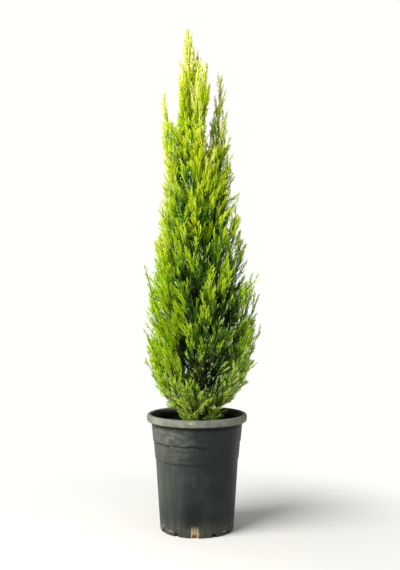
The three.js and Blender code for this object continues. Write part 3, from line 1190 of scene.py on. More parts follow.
@dataclass(frozen=True)
class Outline:
    """How far the crown reaches to the left and to the right of the trunk's foot at each height."""

    heights: tuple[float, ...] = (
        0.245, 0.273, 0.302, 0.330, 0.359, 0.402, 0.474, 0.546, 0.618, 0.690,
        0.762, 0.834, 0.906, 0.978, 1.021, 1.060, 1.085, 1.112, 1.155, 1.200,
    )
    left: tuple[float, ...] = (
        0.030, 0.036, 0.062, 0.090, 0.106, 0.124, 0.126, 0.116, 0.128, 0.102,
        0.093, 0.083, 0.085, 0.088, 0.083, 0.074, 0.064, 0.046, 0.038, 0.027,
    )
    right: tuple[float, ...] = (
        0.062, 0.068, 0.082, 0.100, 0.126, 0.136, 0.148, 0.154, 0.149, 0.122,
        0.106, 0.090, 0.086, 0.079, 0.078, 0.071, 0.064, 0.042, 0.019, -0.014,
    )
    rim_heights: tuple[float, ...] = (0.26, 0.33, 0.37)
    over_rim: tuple[float, ...] = (0.045, 0.025, 0.0)
    tooth_tip: float = 0.406
    tooth_heights: Range = (0.030, 0.052)
    tooth_depth: float = 0.17
    tooth_twist: float = 3.0
    toothed: Range = (0.49, 0.42)
    least_reach: float = 0.02

    def reach(self, points: Array) -> Array:
        """The outline's distance from the axis on each point's side: between left and right by the cosine.

        At the foot it is more by the square of the sine, because the lowest sprays lie over the rim. The base
        is serrated.

        Args:
            points: places, in the last axis.

        Returns:
            One distance for each.
        """
        z = points[..., 2]
        left = np.interp(z, self.heights, self.left)
        right = np.interp(z, self.heights, self.right)
        cosine = points[..., 0] / np.maximum(np.linalg.norm(points[..., :2], axis=-1), 1e-6)
        over_rim = np.interp(z, self.rim_heights, self.over_rim) * (1.0 - cosine**2)
        reach = 0.5 * (left + right) + 0.5 * (right - left) * cosine + over_rim
        return reach * (1.0 + self.serration(z, cosine))

    def serration(self, heights: Array, cosine: Array) -> Array:
        """The saw teeth of the base: each widens upward and steps back above its tip, finer on the left.

        Args:
            heights: the heights of points.
            cosine: the cosines of their azimuths.

        Returns:
            The share that each adds to the reach.
        """
        tooth = np.where(cosine < 0.0, *self.tooth_heights)
        share = ((heights - self.tooth_tip) / tooth + self.tooth_twist * (1.0 - np.abs(cosine))) % 1.0
        return self.tooth_depth * (share - 0.5) * smooth_step(*self.toothed, heights)

    def outwardness(self, points: Array) -> Array:
        """0 on the axis and 1 at the outline."""
        return np.linalg.norm(points[..., :2], axis=-1) / np.maximum(self.reach(points), self.least_reach)


@dataclass(frozen=True)
class Patches:
    """Places in the crown painted darker or lighter, as painted shade and light: rows of a centre, three half
    sizes and a depth.
    """

    rows: tuple[tuple[float, ...], ...]

    def depth(self, points: Array) -> Array:
        """The greatest depth at points. A patch falls off as the bell curve of distance over half size."""
        away = [(((points - row[:3]) / row[3:6]) ** 2).sum(axis=-1) for row in self.rows]
        return np.max([row[6] * np.exp(-square) for row, square in zip(self.rows, away)], axis=0)


@dataclass(frozen=True)
class Habit:
    """How the stalks of one order grow on the curves that carry them.

    Lengths are in metres and angles in degrees. A spread goes from the foot of the carrier to its tip.
    Between the two heights of `closing` the stalks draw in, so that the tops of the plumes are slim spires.
    On the left of the crown all stalks sway out a little more.
    """

    spacing: float
    fewest: int
    shares: Range
    to_carrier: float
    lengths: Range
    taper: float
    spread: Range
    lift: float
    bend_up: float
    bend_in: float
    closing: Range = (8.0, 9.0)
    closed_spread: float = 0.36
    closed_length: float = 0.28
    spread_luck: float = 5.0
    least_spread: float = 6.0
    length_luck: Range = (0.75, 1.12)
    along_luck: Range = (0.1, 0.9)
    sway: float = 0.09
    swaying: Range = (0.05, -0.06)

    def grow(
        self, carrier: Carrier, rng: Rng, first: Array | None = None
    ) -> tuple[Stalks, Array, Array]:
        """Stalks on every carrier, one golden angle on from the last, shorter and closer towards its tip.

        Args:
            carrier: the lines or stalks that they grow on.
            rng: the source of chance.
            first: the share of each carrier below its first stalk, where that differs.

        Returns:
            The stalks, the carrier of each, and its share along that.
        """
        whole = carrier.length
        first = np.full(whole.size, self.shares[0]) if first is None else first
        last = self.shares[1]
        clothed = whole * (last - first)
        counts = np.maximum(self.fewest, np.round(clothed / self.spacing)).astype(int)
        owner, rank = counted(counts)
        along = (rank + rng.uniform(*self.along_luck, rank.size)) / counts[owner]
        share = blend(first[owner], last, along)
        turn = rng.uniform(0.0, FULL_TURN, counts.size)[owner] + rank * GOLDEN_ANGLE
        root = carrier.point(owner, share)
        closed = smooth_step(*self.closing, root[:, 2])
        spread = blend(*self.spread, along) + rng.normal(0.0, self.spread_luck, rank.size)
        spread = np.maximum(spread * (1.0 - self.closed_spread * closed), self.least_spread)
        heading = carrier.heading(owner, share)
        direction = leaning(heading, turn, np.radians(spread)) + self.lift * UP
        direction[:, 0] -= self.sway * smooth_step(*self.swaying, root[:, 0])
        direction = unit(direction)
        length = self.to_carrier * clothed[owner] * rng.uniform(*self.length_luck, rank.size)
        length = np.clip(length, *self.lengths) * (1.0 - self.taper * along)
        length = length * (1.0 - self.closed_length * closed)
        bend = self.bend_up * (UP - direction * direction[:, 2:]) + self.bend_in * (heading - direction)
        rise = carrier.rise_at(owner, share)
        return Stalks(root, direction, bend, length, carrier.stem[owner], rise), owner, along


@dataclass(frozen=True)
class NeedleHabit:
    """How needles grow on stalks: narrow kites, folded along the midrib, that close at the tip."""

    outline: Outline
    spacing: float = 0.00112
    fewest: int = 5
    length: Range = (0.0068, 0.0048)
    length_luck: Range = (0.8, 1.15)
    width: float = 0.0015
    fold: float = 0.0005
    shoulder: float = 0.4
    spread: Range = (22.0, 9.0)
    spread_power: float = 1.5
    spread_luck: float = 6.0
    least_spread: float = 8.0
    heart_scale: float = 1.9
    heart: Range = (0.25, 0.75)

    def scale(self, places: Array) -> Array:
        """How many times larger, and further apart, needles are in the heart of the crown than outside."""
        return blend(self.heart_scale, 1.0, smooth_step(*self.heart, self.outline.outwardness(places)))

    def grow(self, stalks: Stalks, first: float, rng: Rng) -> tuple[Array, Array, Array]:
        """Needles round stalks, by the golden angle.

        Args:
            stalks: the twiglets or shoots that carry the needles.
            first: the share of each stalk below its first needle.
            rng: the source of chance.

        Returns:
            Each needle's root, right shoulder, tip and left shoulder, its stalk, and its share along that.
        """
        middle = stalks.paths(np.array([0.5]))[:, 0]
        spacing = self.spacing * self.scale(middle)
        counts = np.maximum(self.fewest, np.round(stalks.length * (1.0 - first) / spacing)).astype(int)
        owner, rank = counted(counts)
        along = (rank + 0.5) / counts[owner]
        share = blend(first, 1.0, along)
        turn = rng.uniform(0.0, FULL_TURN, counts.size)[owner] + rank * GOLDEN_ANGLE
        spread = blend(*self.spread, along**self.spread_power) + rng.normal(0.0, self.spread_luck, rank.size)
        axis = stalks.heading(owner, share)
        heading = leaning(axis, turn, np.radians(np.maximum(spread, self.least_spread)))
        root = stalks.point(owner, share)
        scale = self.scale(root)
        length = blend(*self.length, along) * scale * rng.uniform(*self.length_luck, rank.size)
        reach = length[:, None] * heading
        side = unit(np.cross(axis, heading))
        shoulder = root + self.shoulder * reach - self.fold * np.cross(side, heading)
        half = 0.5 * self.width * scale[:, None] * side
        return np.stack([root, shoulder + half, root + reach, shoulder - half], axis=1), owner, along


@dataclass(frozen=True)
class Tinting:
    """How tints are dealt out: each needle has a score, and its tint is the number of steps that it passes.

    A row of heights is a gain and the two heights between which it sets in. The rows make the top paler,
    partly the tips' own gold and partly painted light, and lift the lower crown and the foot, which lie in
    the crown's own shadow, as painted light.
    """

    outline: Outline
    shaded_hollows: Patches
    lit_patches: Patches
    steps: tuple[float, ...] = (0.30, 0.42, 0.54, 0.66, 0.82, 1.02)
    base: float = 0.16
    heights: tuple[tuple[float, float, float], ...] = (
        (0.18, 0.25, 1.0), (0.22, 0.93, 1.13), (0.24, 1.08, 1.17), (0.11, 0.55, 0.40), (0.38, 0.36, 0.28),
    )
    outward_gain: float = 0.46
    least_outward: float = 0.62
    least_heights: Range = (0.88, 1.02)
    most_outward: float = 1.15
    along_gain: float = 0.22
    rise_gain: float = 0.32
    mean_rise: float = 0.60
    hollow_shade_gain: float = -0.56
    lit_patch_gain: float = 0.28
    shoot_luck: float = 0.098
    needle_luck: float = 0.02
    # Painted light and shade by side: lighter on the left, darker on the right, most from the middle up, and
    # near the top lighter on the right spire, in the leader's shadow, and darker on the left one.
    left_light_slope: float = -0.55
    right_shade_slopes: Range = (-0.15, -1.10)
    right_heights: Range = (0.34, 0.60)
    top_light_slope: float = 1.0
    top_heights: Range = (0.85, 0.98)
    caps: Range = (0.81, 1.31)
    cap_heights: Range = (0.62, 0.98)
    dry_share: float = 0.008
    # The share of sprays with the pale frosty tint: partly glaucous green, partly painted glints, and at the
    # foot painted light that lifts sprays lying in the crown's own shadow.
    frost_glint_least: float = 0.03
    frost_glint_foot: float = 0.85
    frost_glint_foot_heights: Range = (0.44, 0.27)
    frost_glint_hollow: float = 0.14
    frost_glint_right: float = 0.34
    frost_glint_right_x: Range = (0.02, 0.10)
    frost_glint_right_heights: Range = (0.52, 0.44)
    frost_glint_back: float = 0.45
    frost_glint_front_y: Range = (0.02, -0.06)
    frost_glint_from: float = 0.30

    def deal(
        self, places: Array, shoot: Array, spray: Array, along: Array, rise: Array, rng: Rng
    ) -> Array:
        """The tint number of each needle, dealt out by spray: paler outwards, upwards and towards the tips.

        The darker heart is partly the foliage's own tone and partly painted shade. The shaded and lit
        patches, the sides and the lifted foot are painted shade and light.

        Args:
            places: the tip of each needle.
            shoot: the number of the shoot that carries it, whose chance it shares.
            spray: the number of its own twiglet, or of the end of the shoot.
            along: its share along that shoot.
            rise: how far up its plume it grows.
            rng: the source of chance.

        Returns:
            Tint numbers.
        """
        x, _, z = places.T
        luck = rng.normal(0.0, self.shoot_luck, shoot.max() + 1)[shoot]
        least = self.least_outward * smooth_step(*self.least_heights, z)
        outward = np.clip(self.outline.outwardness(places), least, self.most_outward)
        hollow_shade = self.shaded_hollows.depth(places)
        # Paler outwards and towards the tips; the darker heart is partly the foliage's own tone and partly
        # painted shade.
        score = self.base + self.outward_gain * outward + self.along_gain * along + luck
        # Paler towards the top, partly own gold and partly painted light; the lower crown and foot lifted as
        # painted light.
        score += sum(gain * smooth_step(low, high, z) for gain, low, high in self.heights)
        # Painted shade in the shaded patches, and painted light in the lit ones.
        score += self.hollow_shade_gain * hollow_shade + self.lit_patch_gain * self.lit_patches.depth(places)
        # Painted light and shade by side: the left lighter, the right darker, and near the top the right
        # spire lighter.
        right = blend(*self.right_shade_slopes, smooth_step(*self.right_heights, z))
        side_light_slope = np.where(x > 0.0, right, self.left_light_slope)
        score += self.rise_gain * (rise - self.mean_rise)
        score += blend(side_light_slope, self.top_light_slope, smooth_step(*self.top_heights, z)) * x
        score += rng.normal(0.0, self.needle_luck, along.size)
        cap = blend(*self.caps, smooth_step(*self.cap_heights, z))
        tint = np.digitize(np.minimum(score, cap), self.steps)
        dry = (rng.uniform(0.0, 1.0, shoot.max() + 1) < self.dry_share)[shoot]
        tint = np.where(dry & (tint < Tint.LEAF.number), Tint.STRAW.number, tint)
        frost_glint = self.frost_glint(places, hollow_shade)
        frost_glinted = (rng.uniform(0.0, 1.0, spray.max() + 1)[spray] < frost_glint) & (along > self.frost_glint_from)
        return np.where(frost_glinted, Tint.FROST_GLINT.number, tint)

    def frost_glint(self, places: Array, hollow_shade: Array) -> Array:
        """The share of sprays given the pale frosty tint, partly glaucous green and partly painted glints and
        light: more at the foot, low on the right and in front.

        Args:
            places: points in the crown.
            hollow_shade: the depth of the shaded patches there.

        Returns:
            One share for each.
        """
        x, y, z = places.T
        foot = self.frost_glint_foot * smooth_step(*self.frost_glint_foot_heights, z)
        share = foot * (1.0 - np.minimum(hollow_shade, 1.0)) + self.frost_glint_hollow * hollow_shade
        right = self.frost_glint_right * smooth_step(*self.frost_glint_right_x, x)
        share += right * smooth_step(*self.frost_glint_right_heights, z)
        return self.frost_glint_least + share * blend(self.frost_glint_back, 1.0, smooth_step(*self.frost_glint_front_y, y))


@dataclass(frozen=True)
class Crown:
    """Boughs in tiers, each with a plume: laterals, shoots, twiglets and needles, each on the one before.

    A gap is a slit between two spires where the sky shows: the X and Z of an ellipse that runs through from
    front to back, and half its width and height. A skin is the radius at a stalk's foot, and the numbers of
    places along the stalk and of sides round it.
    """

    trunk: Trunk
    outline: Outline = Outline()
    # Shaded patches: the shoots are cut back and the needles painted darker, as painted shade.
    shaded_hollows: Patches = Patches((
        (0.030, -0.105, 0.376, 0.037, 0.095, 0.060, 1.2),
        (-0.010, -0.110, 0.412, 0.020, 0.080, 0.036, 0.9),
        (0.022, -0.115, 0.477, 0.018, 0.070, 0.030, 0.9),
        (0.066, -0.115, 0.512, 0.028, 0.070, 0.048, 1.0),
        (-0.012, -0.120, 0.555, 0.014, 0.060, 0.070, 0.9),
        (-0.046, -0.092, 0.600, 0.015, 0.060, 0.020, 0.8),
        (0.014, -0.100, 0.652, 0.015, 0.060, 0.045, 0.9),
        (-0.012, -0.100, 0.683, 0.013, 0.060, 0.022, 0.7),
        (0.050, -0.095, 0.683, 0.012, 0.060, 0.020, 0.5),
        (0.030, -0.090, 0.754, 0.013, 0.060, 0.018, 0.6),
        (-0.039, -0.085, 0.762, 0.018, 0.060, 0.040, 0.8),
        (-0.024, -0.075, 0.834, 0.020, 0.050, 0.032, 0.9),
    ))
    # Lit patches: the shoots grow longer and the needles are painted lighter, as painted light.
    lit_patches: Patches = Patches((
        (-0.045, -0.100, 0.405, 0.017, 0.060, 0.050, 0.8),
        (-0.050, -0.097, 0.480, 0.020, 0.060, 0.050, 1.5),
        (0.050, -0.108, 0.608, 0.024, 0.060, 0.038, 1.5),
        (-0.014, -0.100, 0.643, 0.013, 0.060, 0.020, 0.9),
        (-0.017, -0.095, 0.728, 0.014, 0.060, 0.022, 1.2),
        (0.022, -0.095, 0.714, 0.014, 0.060, 0.022, 0.8),
        (-0.012, -0.085, 0.791, 0.014, 0.060, 0.022, 0.8),
        (0.010, -0.080, 0.845, 0.016, 0.060, 0.040, 0.9),
        (0.023, -0.085, 0.795, 0.014, 0.060, 0.022, 0.9),
        (0.032, -0.072, 0.920, 0.017, 0.050, 0.042, 1.5),
        (-0.040, -0.060, 0.935, 0.015, 0.050, 0.030, 0.9),
    ))
    gaps: tuple[tuple[float, float, float, float], ...] = (
        (-0.053, 1.030, 0.010, 0.080), (0.036, 1.025, 0.007, 0.050), (0.023, 0.940, 0.008, 0.050),
    )
    tiers: tuple[Tier, ...] = (
        Tier(
            "skirt", foot=0.250, climb=0.004, turn=15.0, bare=0.05, fork_rise=0.96,
            tips=(
                (0.425, 0.134), (0.372, 0.114), (0.384, 0.118),
                (0.408, 0.132), (0.352, 0.108), (0.380, 0.122),
            ),
        ),
        Tier(
            "lower", foot=0.276, climb=0.008, turn=-10.0, bare=0.08, fork_rise=0.96,
            tips=((0.473, 0.143), (0.500, 0.126), (0.470, 0.128), (0.473, 0.141), (0.515, 0.128)),
        ),
        Tier(
            "middle", foot=0.326, climb=0.015, turn=12.0, bare=0.10, fork_rise=1.14,
            tips=((0.550, 0.141), (0.600, 0.118), (0.629, 0.134), (0.590, 0.120)),
        ),
        Tier(
            "upper", foot=0.400, climb=0.024, turn=-25.0, bare=0.10, fork_rise=0.80,
            tips=((0.797, 0.106), (0.760, 0.096), (0.790, 0.099), (0.775, 0.096)),
        ),
        Tier(
            "spire", foot=0.520, climb=0.032, turn=10.0, bare=0.10, fork_rise=0.70,
            tips=((1.085, 0.075), (0.992, 0.070), (1.030, 0.069), (1.004, 0.066)),
        ),
        Tier(
            "crest", foot=0.690, climb=0.034, turn=-40.0, bare=0.10, fork_rise=0.66,
            tips=((1.107, 0.057), (1.152, 0.047), (1.080, 0.050), (1.050, 0.046)),
            asides=(-10.0, 14.0, -26.0, 14.0),
        ),
    )
    spread: Range = (0.60, 0.26)
    upright: Range = (0.24, 0.40)
    bough_most: float = 0.0038
    bough_to_trunk: float = 0.5
    bough_share: float = 0.17
    bough_taper: float = 0.55
    bough_relief: Range = (0.84, 1.16)
    bough_grid: tuple[int, int] = (46, 9)
    fork_grid: tuple[int, int] = (18, 5)
    ring_power: float = 1.3
    stem_radius: float = 0.0015
    stem_tip: float = 0.0005
    fork_upright: Range = (0.40, 0.36)
    fork_shares: Range = (0.12, 0.24)
    fork_turns: tuple[float, ...] = (0.29, -0.29, 0.50, -0.06)
    fork_turn_luck: Range = (0.75, 1.2)
    fork_rises: tuple[float, ...] = (1.0, 1.0, 0.84, 0.60)
    fork_rise_luck: Range = (0.86, 1.06)
    fork_reach: Range = (0.84, 0.97)
    fork_ahead: float = 0.1
    laterals: Habit = Habit(
        spacing=0.070, fewest=2, shares=(0.14, 0.84), to_carrier=0.42, lengths=(0.050, 0.110), taper=0.50,
        spread=(42.0, 22.0), lift=0.22, bend_up=0.20, bend_in=0.10, closing=(0.90, 1.00),
    )
    basal: Habit = Habit(
        spacing=0.0014, fewest=52, shares=(0.004, 0.070), to_carrier=1.0, lengths=(0.060, 0.105), taper=0.10,
        spread=(80.0, 32.0), lift=0.0, bend_up=0.30, bend_in=0.0,
    )
    shoots: Habit = Habit(
        spacing=0.0160, fewest=4, shares=(0.08, 0.985), to_carrier=0.60, lengths=(0.040, 0.095), taper=0.58,
        spread=(38.0, 12.0), lift=0.10, bend_up=0.08, bend_in=0.12, closing=(0.95, 1.15),
    )
    spire_shoots: Habit = Habit(
        spacing=0.0105, fewest=4, shares=(0.08, 0.99), to_carrier=0.60, lengths=(0.040, 0.085), taper=0.40,
        spread=(34.0, 12.0), lift=0.10, bend_up=0.06, bend_in=0.16,
    )
    leader_shoots: Habit = Habit(
        spacing=0.0040, fewest=4, shares=(0.72, 0.990), to_carrier=0.50, lengths=(0.040, 0.125), taper=0.80,
        spread=(35.0, 12.0), lift=0.05, bend_up=0.1, bend_in=0.2,
    )
    trunk_shoots: Habit = Habit(
        spacing=0.0120, fewest=4, shares=(0.008, 0.72), to_carrier=0.42, lengths=(0.050, 0.100), taper=0.20,
        spread=(66.0, 44.0), lift=0.22, bend_up=0.16, bend_in=0.1,
    )
    twiglets: Habit = Habit(
        spacing=0.0050, fewest=5, shares=(0.06, 0.97), to_carrier=0.55, lengths=(0.014, 0.040), taper=0.66,
        spread=(22.0, 10.0), lift=0.0, bend_up=0.04, bend_in=0.12, closing=(0.95, 1.15),
    )
    first_spire: int = 4
    hollow_cut: float = 0.35
    lit_patch_growth: float = 0.2
    ragged: Range = (0.90, 1.05)
    soil_clearance: float = 0.004
    ceiling: float = 1.193
    trial_shares: tuple[float, float, int] = (0.1, 1.0, 10)
    least_kept: float = 0.3
    first_needles: Range = (0.12, 0.45)
    along_twiglet: float = 0.35
    young_bark: Colour = (0.050, 0.058, 0.015)
    twig_green: Colour = (0.090, 0.150, 0.014)
    lateral_skin: tuple[float, int, int] = (0.0012, 7, 5)
    shoot_skin: tuple[float, int, int] = (0.0007, 4, 3)
    twiglet_skin: tuple[float, int, int] = (0.0005, 2, 3)

    def boughs(self) -> Lines:
        """The axis of every plume but the leader's: out from the trunk, then upright, to a measured tip.

        Returns:
            One line for each bough.
        """
        rows = []
        for tier in self.tiers:
            foot = self.trunk.at_height(tier.foot + tier.climb * np.arange(len(tier.tips)))
            tip_z, reach = np.array(tier.tips).T
            tip = self.trunk.at_height(tip_z) + reach[:, None] * level(tier.azimuths())
            rows.append(self.limb_controls(foot, tip, self.upright))
        controls = np.concatenate(rows)
        return Lines(controls, np.arange(len(controls)))

    def limb_controls(self, foot: Array, tip: Array, upright: Range) -> Array:
        """The four control points of limbs that go out from a foot and then turn up to a tip.

        Args:
            foot: where each limb starts.
            tip: where it ends.
            upright: the shares of its reach and of its rise that lie between the third point and the tip.

        Returns:
            Points of shape (limbs, 4, 3).
        """
        rise = (tip - foot) * UP
        aside = tip - foot - rise
        second = foot + self.spread[0] * aside + self.spread[1] * rise
        third = tip - upright[0] * aside - upright[1] * rise
        return np.stack([foot, second, third, tip], axis=1)

    def tier_numbers(self) -> Array:
        """The tier of each plume, with the leader and the trunk as two more."""
        return counted(np.array([len(tier.tips) for tier in self.tiers] + [1, 1]))[0]

    def by_tier(self, values: Sequence[float]) -> Array:
        """The value of its tier for every bough."""
        return np.array(values)[self.tier_numbers()[:-2]]

    def forks(self, boughs: Lines, rng: Rng) -> Lines:
        """The forks of boughs, turned aside by a share of the step to the next, that end at the outline.

        Args:
            boughs: the boughs' lines.
            rng: the source of chance.

        Returns:
            The forks' lines.
        """
        count = len(boughs.controls)
        stem = np.repeat(np.arange(count), len(self.fork_turns))
        root = boughs.point(stem, rng.uniform(*self.fork_shares, stem.size))
        main = boughs.controls[stem, 3]
        foot_z = boughs.controls[stem, 0, 2]
        rise = self.by_tier([tier.fork_rise for tier in self.tiers])[stem] * np.tile(self.fork_rises, count)
        rise = rise * rng.uniform(*self.fork_rise_luck, stem.size)
        tip_z = foot_z + rise * (main[:, 2] - foot_z)
        middle = self.trunk.at_height(tip_z)
        step = FULL_TURN / self.by_tier([len(tier.tips) for tier in self.tiers])[stem]
        turned = np.tile(self.fork_turns, count) * step * rng.uniform(*self.fork_turn_luck, stem.size)
        outward = level(np.arctan2(main[:, 1], main[:, 0] - middle[:, 0]) + turned)
        reach = self.outline.reach(middle + outward * self.fork_ahead)
        reach = reach * rng.uniform(*self.fork_reach, stem.size)
        tip = outward * reach[:, None] + tip_z[:, None] * UP
        return Lines(self.limb_controls(root, tip, self.fork_upright), stem)

    def limbs(self, boughs: Lines, forks: Lines) -> Surface:
        """The boughs, each one limb from inside the trunk to the tip of its plume, and their forks.

        Args:
            boughs: the boughs' lines.
            forks: the forks' lines.

        Returns:
            All of them as one surface.
        """
        thick = self.bough_to_trunk * self.trunk.radius(self.trunk.share(boughs.controls[:, 0, 2]))
        main = self.limb_skin(boughs, np.minimum(self.bough_most, thick), *self.bough_grid)
        thin = np.full(len(forks.stem), self.stem_radius)
        return main.joined(self.limb_skin(forks, thin, *self.fork_grid))

    def limb_skin(self, lines: Lines, thick: Array, places: int, sides: int) -> Surface:
        """Limbs as rough tubes, whose radius falls evenly along the bough and again along the stem beyond it.

        Args:
            lines: their axes.
            thick: the radius at the foot of each.
            places: the number of rings along each.
            sides: the number of points in a ring.

        Returns:
            The surface.
        """
        share = np.linspace(0.0, 1.0, places) ** self.ring_power
        bough = thick[:, None] * blend(1.0, self.bough_taper, share / self.bough_share)
        stem = blend(self.stem_radius, self.stem_tip, (share - self.bough_share) / (1.0 - self.bough_share))
        radius = np.where(share < self.bough_share, np.maximum(bough, self.stem_radius), stem)
        rough = np.random.default_rng(SEED + 3).uniform(*self.bough_relief, (*radius.shape, sides))
        return tubes(lines.paths(share), radius[..., None] * rough, sides)

    def grown(
        self, plans: Sequence[tuple[Habit, Carrier, Array | None]], rng: Rng
    ) -> Stalks:
        """Stalks of several habits, each on its carrier from its first shares on, kept inside the crown."""
        stalks = [habit.grow(carrier, rng, first)[0] for habit, carrier, first in plans]
        return self.kept_inside(Stalks.joined(stalks), rng)

    def grow_laterals(self, boughs: Lines, forks: Lines, rng: Rng) -> Stalks:
        """The laterals of the boughs and forks, and the low ones round the trunk's foot."""
        plans = [
            (self.laterals, boughs, None),
            (self.laterals, forks, None),
            (self.basal, self.trunk_line(), None),
        ]
        return self.grown(plans, rng)

    def trunk_line(self) -> Lines:
        """The trunk's line, counted as the last plume."""
        return replace(self.trunk.line(), stem=self.tier_numbers().size - np.ones(1, int))

    def grow_shoots(self, boughs: Lines, forks: Lines, laterals: Stalks, rng: Rng) -> Stalks:
        """The shoots of the boughs, their forks and laterals, of the leader and of the trunk below that.

        Args:
            boughs: the boughs' lines.
            forks: the forks' lines.
            laterals: the laterals.
            rng: the source of chance.

        Returns:
            The shoots.
        """
        bare = self.by_tier([tier.bare for tier in self.tiers])
        spires = self.tier_numbers()[:-2] >= self.first_spire
        trunk = self.trunk_line()
        plans = [
            (self.shoots, boughs.chosen(~spires), bare[~spires]),
            (self.spire_shoots, boughs.chosen(spires), bare[spires]),
            (self.shoots, forks, None),
            (self.shoots, laterals, None),
            (self.leader_shoots, replace(trunk, stem=trunk.stem - 1), None),
            (self.trunk_shoots, trunk, None),
        ]
        shoots = self.grown(plans, rng)
        cut = self.hollow_cut * self.shaded_hollows.depth(shoots.root)
        return shoots.shortened(1.0 - cut + self.lit_patch_growth * self.lit_patches.depth(shoots.root))

    def kept_inside(self, stalks: Stalks, rng: Rng) -> Stalks:
        """Stalks cut back where they leave the outline, meet the soil or enter a gap, but not to nothing.

        Some may stand out of the outline a little and others end short of it, so that the edge is ragged.

        Args:
            stalks: laterals, shoots or twiglets.
            rng: the source of chance.

        Returns:
            The stalks at their new lengths.
        """
        places = stalks.paths(np.linspace(*self.trial_shares))
        aside, _, height = np.moveaxis(places, -1, 0)
        inside = self.outline.outwardness(places) < rng.uniform(*self.ragged, (len(places), 1))
        inside &= (height > self.trunk.foot + self.soil_clearance) & (height < self.ceiling)
        for x, z, half_width, half_height in self.gaps:
            inside &= ((aside - x) / half_width) ** 2 + ((height - z) / half_height) ** 2 >= 1.0
        run = np.logical_and.accumulate(inside, axis=1).mean(axis=1)
        return stalks.shortened(np.maximum(run, self.least_kept))

    def build(self, finish: Finish) -> list[Piece]:
        """The crown's pieces: boughs, laterals, shoots, twiglets, and the needles of each tier.

        Args:
            finish: the bark of the boughs.

        Returns:
            The pieces.
        """
        rng = np.random.default_rng(CROWN_SEED)
        boughs = self.boughs()
        forks = self.forks(boughs, rng)
        laterals = self.grow_laterals(boughs, forks, rng)
        shoots = self.grow_shoots(boughs, forks, laterals, rng)
        twiglets, parents, ranks = self.twiglets.grow(shoots, rng)
        twiglets = self.kept_inside(twiglets, rng)
        young = PlainFinish("young_bark", self.young_bark, roughness=0.75).build()
        green = PlainFinish("twiglet_green", self.twig_green, roughness=0.7, specular=0.1).build()
        names = [name for tier in self.tiers for name in tier.nodes("bough")]
        pieces = [
            make_piece("bough_bark", self.limbs(boughs, forks), [finish], Slot.BARK, names),
            make_piece("laterals", laterals.skin(*self.lateral_skin), [young], Slot.BARK),
            make_piece("shoots", shoots.skin(*self.shoot_skin), [green], Slot.FOLIAGE),
            make_piece("twiglets", twiglets.skin(*self.twiglet_skin), [green], Slot.FOLIAGE),
        ]
        return pieces + self.needle_pieces(shoots, twiglets, parents, ranks, rng)

    def needle_pieces(
        self, shoots: Stalks, twiglets: Stalks, parents: Array, ranks: Array, rng: Rng
    ) -> list[Piece]:
        """The needles on the twiglets and on the outer shoots, joined by tier, or by parts of a large tier.

        Args:
            shoots: the side shoots of the plumes.
            twiglets: the twiglets on them.
            parents: the shoot of each twiglet.
            ranks: the share of that shoot at which each twiglet grows.
            rng: the source of chance.

        Returns:
            The pieces, each standing for the plumes that it covers.
        """
        habit = NeedleHabit(self.outline)
        on_twiglets, twiglet, twiglet_along = habit.grow(twiglets, self.first_needles[0], rng)
        on_shoots, shoot, shoot_along = habit.grow(shoots, self.first_needles[1], rng)
        corners = np.concatenate([on_twiglets, on_shoots])
        carrier = np.concatenate([parents[twiglet], shoot])
        along = np.concatenate([blend(ranks[twiglet], twiglet_along, self.along_twiglet), shoot_along])
        rise = np.concatenate([twiglets.rise[twiglet], shoots.rise_at(shoot, shoot_along)])
        spray = np.concatenate([twiglet, len(twiglets.root) + shoot])
        tinting = Tinting(self.outline, self.shaded_hollows, self.lit_patches)
        tint = tinting.deal(corners[:, 2], carrier, spray, along, rise, rng)
        stem = shoots.stem[carrier]
        finishes = [tone.build() for tone in Tint]
        names = [name for tier in self.tiers for name in tier.nodes("plume")] + ["leader_plume_1"]
        halves = np.array([[0, 1, 2], [0, 2, 3]])
        pieces = []
        for label, stems in self.groups(np.bincount(stem)):
            chosen = np.isin(stem, stems)
            points = corners[chosen].reshape(-1, 3)
            faces = (halves + np.arange(0, len(points), 4)[:, None, None]).reshape(-1, 3)
            surface = Surface(points, faces, np.repeat(tint[chosen], 2))
            nodes = [names[i] for i in stems if i < len(names)]
            pieces.append(make_piece(label, surface, finishes, Slot.FOLIAGE, nodes, smooth=False))
        return pieces

    def groups(self, needles: Array) -> list[tuple[str, Array]]:
        """Shares out the stems: one piece to a tier, or as few as the limit on triangles allows.

        Args:
            needles: the number of needles on each stem.

        Returns:
            The name and the stems of each piece.
        """
        made = []
        for number, label in enumerate([*(tier.name for tier in self.tiers), "leader", "trunk"]):
            stems = np.flatnonzero(self.tier_numbers() == number)
            parts = int(np.ceil(2 * needles[stems].sum() / MOST_TRIANGLES))
            for i, part in enumerate(np.array_split(stems, parts)):
                made.append((f"{label}_needles_{i + 1}", part))
        return made


@dataclass(frozen=True)
class Lamp:
    """A square soft light that faces the crown."""

    name: str
    place: Place
    size: float
    power: float
    colour: Colour
    target: Place = (0.0, 0.0, 0.62)

    def build(self) -> None:
        """Makes the light."""
        data = bpy.data.lights.new(self.name, "AREA")
        data.size = self.size
        data.energy = self.power
        data.color = self.colour
        lamp = placed(self.name, data)
        lamp.location = self.place
        back = Vector(self.place) - Vector(self.target)
        lamp.rotation_euler = back.to_track_quat("Z", "Y").to_euler()


